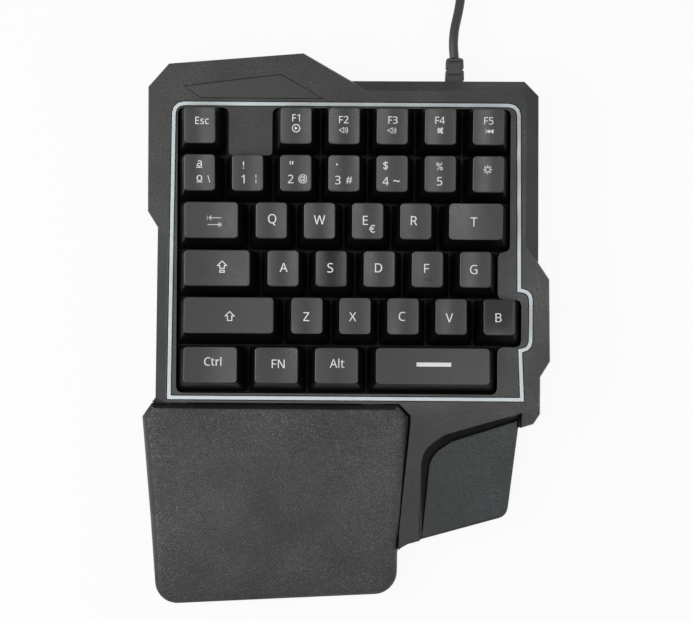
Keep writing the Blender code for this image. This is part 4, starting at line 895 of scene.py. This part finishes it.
# The F cap has a low homing bar near its front edge, by which a finger finds its place. It is
# moulded with the cap and sprayed with it.
homing_size = (0.0036, 0.0007, 0.0006)
homing_place = (0.0002, -0.0040)
homing_rounding = 0.0002
cap_rim_band = 0.0026


def cap_middle(cap):
    """The middle of a cap's top, from above."""
    high = max(vertex.co.z for vertex in cap.data.vertices)
    rim = [vertex.co for vertex in cap.data.vertices if vertex.co.z > high - cap_rim_band]
    return Vector((*middle_from_above(rim), high))


def cap_skin(cap):
    """A cap's surface, ready to be asked for its height."""
    return BVHTree.FromPolygons([vertex.co for vertex in cap.data.vertices],
                                [face.vertices for face in cap.data.polygons])


def skin_height(skin, x, y):
    """How high a cap's top is at a place."""
    return skin.ray_cast(Vector((x, y, 1)), Vector((0, 0, -1)))[0].z


homing_x = cap_middle(caps["f"]).x + homing_place[0]
homing_y = cap_middle(caps["f"]).y + homing_place[1]
homing_z = skin_height(cap_skin(caps["f"]), homing_x, homing_y)
homing = block("homing_bar", (homing_x, homing_y, homing_z), homing_size)
bpy.ops.object.mode_set(mode="EDIT")
bpy.ops.mesh.select_all(action="SELECT")
bpy.ops.mesh.bevel(offset=homing_rounding, segments=soft_edge_steps)
bpy.ops.object.mode_set(mode="OBJECT")
bpy.ops.object.shade_smooth_by_angle(angle=smooth_angle)
homing.data.materials.append(cap_satin)
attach(homing, "key_f_body")

# The legends are printed in white ink on the cap tops, plain keyboard ones only. Each row holds
# the sign, how far right and rearward of the top's middle it stands, and its type size, in mm.
mm = 0.001
ink_height = 0.00003
letter_steps = 3
legends = {
    "esc": (("Esc", 0.9, 1.8, 3.9),),
    "f1": (("F1", 0, 3.1, 3.9), ("▶", 0.1, -0.95, 1.6), ("○", 0, -0.95, 4.4)),
    "f2": (("F2", -0.2, 2.5, 3.9), ("◁", -1.1, -1.6, 2.7), (")", 0.5, -1.6, 2.2),
           (")", 1.1, -1.6, 2.9)),
    "f3": (("F3", 0.2, 2.5, 3.9), ("◁", -1.0, -1.6, 2.7), (")", 0.6, -1.6, 2.2),
           (")", 1.2, -1.6, 2.9)),
    "f4": (("F4", -0.2, 2.5, 3.9), ("◁", -0.4, -1.5, 2.9), ("×", 0.0, -1.5, 5.4)),
    "f5": (("F5", 0, 2.4, 3.9), ("|", -1.0, -1.7, 2.0), ("◀", -0.2, -1.7, 1.8),
           ("◀", 1.2, -1.7, 1.8)),
    "ordinal": (("a", 0, 3.5, 4.4), ("_", 0, 2.0, 4.8), ("o", 0, -2.2, 4.4),
                ("_", 0, -3.7, 4.8), ("\\", 3.7, -2.5, 4.0)),
    "1": (("!", -1.6, 3.0, 4.2), ("1", -1.8, -2.5, 4.6), ("¦", 3.3, -2.4, 3.6)),
    "2": (("\"", -1.7, 4.0, 5.4), ("2", -2.0, -2.3, 4.6), ("@", 2.8, -2.2, 3.8)),
    "3": (("·", -2.8, 3.5, 6.0), ("3", -2.4, -2.6, 4.6), ("#", 2.1, -2.6, 4.0)),
    "4": (("$", -2.6, 3.1, 4.2), ("4", -2.5, -2.9, 4.6), ("~", 1.8, -2.8, 5.0)),
    "5": (("%", -0.3, 3.0, 4.2), ("5", -0.2, -2.8, 4.6)),
    "scroll_lock": (("☼", -0.3, 1.9, 4.2),),
    "tab": (("|", -1.6, 0.9, 1.8), ("←", 0.1, 0.9, 3.0), ("—", 2.3, 0.9, 3.4),
            ("—", 0.3, -1.8, 3.4), ("→", 2.7, -1.8, 3.0), ("|", 3.9, -1.8, 1.8)),
    "q": (("Q", 0.3, 0.3, 5.0),),
    "w": (("W", 0.0, 0.4, 5.0),),
    "e": (("E", -0.9, 0.3, 5.0), ("€", 1.8, -3.0, 4.1)),
    "r": (("R", -0.7, 0.3, 5.0),),
    "t": (("T", -0.8, -0.1, 5.1),),
    "caps_lock": (("⇪", 2.0, 0.6, 5.2),),
    "a": (("A", 0.2, 0.4, 5.0),),
    "s": (("S", -0.4, 0.4, 5.2),),
    "d": (("D", -0.3, 0.5, 5.0),),
    "f": (("F", -0.3, 0.4, 5.0),),
    "g": (("G", -0.7, 0.1, 5.0),),
    "shift": (("⇧", 0.4, -0.25, 5.1),),
    "z": (("Z", -0.2, -0.35, 4.9),),
    "x": (("X", -0.9, -0.25, 4.9),),
    "c": (("C", -0.4, 0.0, 4.9),),
    "v": (("V", -0.7, -0.4, 4.9),),
    "b": (("B", -0.3, -0.1, 4.9),),
    "ctrl": (("Ctrl", 1.0, 1.4, 4.5),),
    "fn": (("FN", 0.7, 0.6, 4.7),),
    "alt": (("Alt", 0.2, 1.0, 4.7),),
}
letter_sets = (("A", 26, 0x1D5A0), ("a", 26, 0x1D5BA), ("0", 10, 0x1D7E2))
ink = moulded_plastic("legend_ink", (0.56, 0.57, 0.58), 0.5, contrast=0.05)


def plain_letters(sign):
    """The sign in plain sans-serif letters and digits, which have code points of their own."""
    drawn = ""
    for letter in sign:
        for first, count, start in letter_sets:
            if 0 <= ord(letter) - ord(first) < count:
                letter = chr(start + ord(letter) - ord(first))
                break
        drawn += letter
    return drawn


def printed(middle, skin, sign, right, rear, size):
    """One sign as a thin film of ink that follows its cap's top."""
    bpy.ops.object.select_all(action="DESELECT")
    bpy.ops.object.text_add()
    label = bpy.context.object
    label.data.body = plain_letters(sign)
    label.data.size = size * mm
    label.data.resolution_u = letter_steps
    label.data.extrude = ink_height
    bpy.ops.object.convert(target="MESH")
    label = bpy.context.object
    drawn_x, drawn_y = middle_from_above([vertex.co for vertex in label.data.vertices])
    shift_x = middle.x + right * mm - drawn_x
    shift_y = middle.y + rear * mm - drawn_y
    for vertex in label.data.vertices:
        x = vertex.co.x + shift_x
        y = vertex.co.y + shift_y
        vertex.co = (x, y, skin_height(skin, x, y) + vertex.co.z)
    return label


for name, signs in legends.items():
    middle = cap_middle(caps[name])
    skin = cap_skin(caps[name])
    labels = [printed(middle, skin, *sign) for sign in signs]
    bpy.ops.object.select_all(action="DESELECT")
    for label in labels:
        label.select_set(True)
    bpy.context.view_layer.objects.active = labels[0]
    if len(labels) > 1:
        bpy.ops.object.join()
    legend = bpy.context.object
    legend.name = "legend_" + name
    legend.data.materials.append(ink)
    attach(legend, f"key_{name}_body")

# The space bar has no sign. A plain white bar is printed near the middle of its top, in the
# same ink as the legends.
bar_size = (0.0137, 0.0016)
bar_place = (0.0004, 0.0007)
bar_x = cap_middle(caps["space"]).x + bar_place[0]
bar_y = cap_middle(caps["space"]).y + bar_place[1]
space_skin = cap_skin(caps["space"])
bar = block("legend_space", (bar_x, bar_y, 0), (*bar_size, 2 * ink_height))
for vertex in bar.data.vertices:
    vertex.co.z += skin_height(space_skin, vertex.co.x, vertex.co.y)
bar.data.materials.append(ink)
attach(bar, "key_space_body")

# The keypad lies on a plain white table. The table shows as the photograph's white and keeps a
# part of the shadow that falls on it.
table_size = 8
table_grey = 0.55
table_roughness = 0.9
table_white_share = 0.92


def show_white(tree, dark_socket, out_socket, white_node, share):
    """Where the camera, gloss or glass looks, a shader gives way to plain white by a share."""
    nodes = tree.nodes
    links = tree.links
    rays = nodes.new("ShaderNodeLightPath")
    looked_at = rays.outputs["Is Camera Ray"]
    for kind in ("Is Glossy Ray", "Is Transmission Ray"):
        either = nodes.new("ShaderNodeMath")
        either.operation = "MAXIMUM"
        links.new(looked_at, either.inputs[0])
        links.new(rays.outputs[kind], either.inputs[1])
        looked_at = either.outputs["Value"]
    part = nodes.new("ShaderNodeMath")
    part.operation = "MULTIPLY"
    part.inputs[1].default_value = share
    links.new(looked_at, part.inputs[0])
    mixed = nodes.new("ShaderNodeMixShader")
    links.new(part.outputs["Value"], mixed.inputs["Fac"])
    links.new(dark_socket, mixed.inputs[1])
    links.new(white_node.outputs[0], mixed.inputs[2])
    links.new(mixed.outputs["Shader"], out_socket)


bpy.ops.object.select_all(action="DESELECT")
bpy.ops.mesh.primitive_plane_add(size=table_size, location=(0, 0, 0))
table = bpy.context.object
table.name = "table"
table_top = bpy.data.materials.new("table_top")
table_top.use_nodes = True
table_nodes = table_top.node_tree.nodes
table_shader = table_nodes["Principled BSDF"]
table_shader.inputs["Base Color"].default_value = (table_grey, table_grey, table_grey, 1)
table_shader.inputs["Roughness"].default_value = table_roughness
show_white(table_top.node_tree, table_shader.outputs["BSDF"],
           table_nodes["Material Output"].inputs["Surface"],
           table_nodes.new("ShaderNodeEmission"), table_white_share)
table.data.materials.append(table_top)

# The room is a soft, even light. Two tall windows above the table's left and right draw bands of
# shine on the dished caps, and two low lamps pick out the case's sloping sides. Each row holds a
# lamp's name, its place, how far it leans, its size and its power.
room_light = 0.45
windows = (
    ("window_left", (-0.270, -0.11, 1.00), -0.27, (0.10, 0.76), 1.6),
    ("window_right", (0.230, -0.06, 1.00), 0.23, (0.10, 0.50), 1.2),
    ("lamp_left", (-0.46, -0.02, 0.42), -0.83, (0.25, 0.60), 3.0),
    ("lamp_right", (0.50, -0.16, 0.40), 0.90, (0.20, 0.30), 0.8),
)
room = bpy.data.worlds.new("room")
bpy.context.scene.world = room
room.use_nodes = True
room_nodes = room.node_tree.nodes
room_nodes["Background"].inputs["Color"].default_value = (1, 1, 1, 1)
room_nodes["Background"].inputs["Strength"].default_value = room_light
show_white(room.node_tree, room_nodes["Background"].outputs["Background"],
           room_nodes["World Output"].inputs["Surface"],
           room_nodes.new("ShaderNodeBackground"), 1.0)
for name, place, lean, size, power in windows:
    bpy.ops.object.light_add(type="AREA", location=place, rotation=(0, lean, 0))
    lamp = bpy.context.object
    lamp.name = name
    lamp.data.shape = "RECTANGLE"
    lamp.data.size, lamp.data.size_y = size
    lamp.data.energy = power
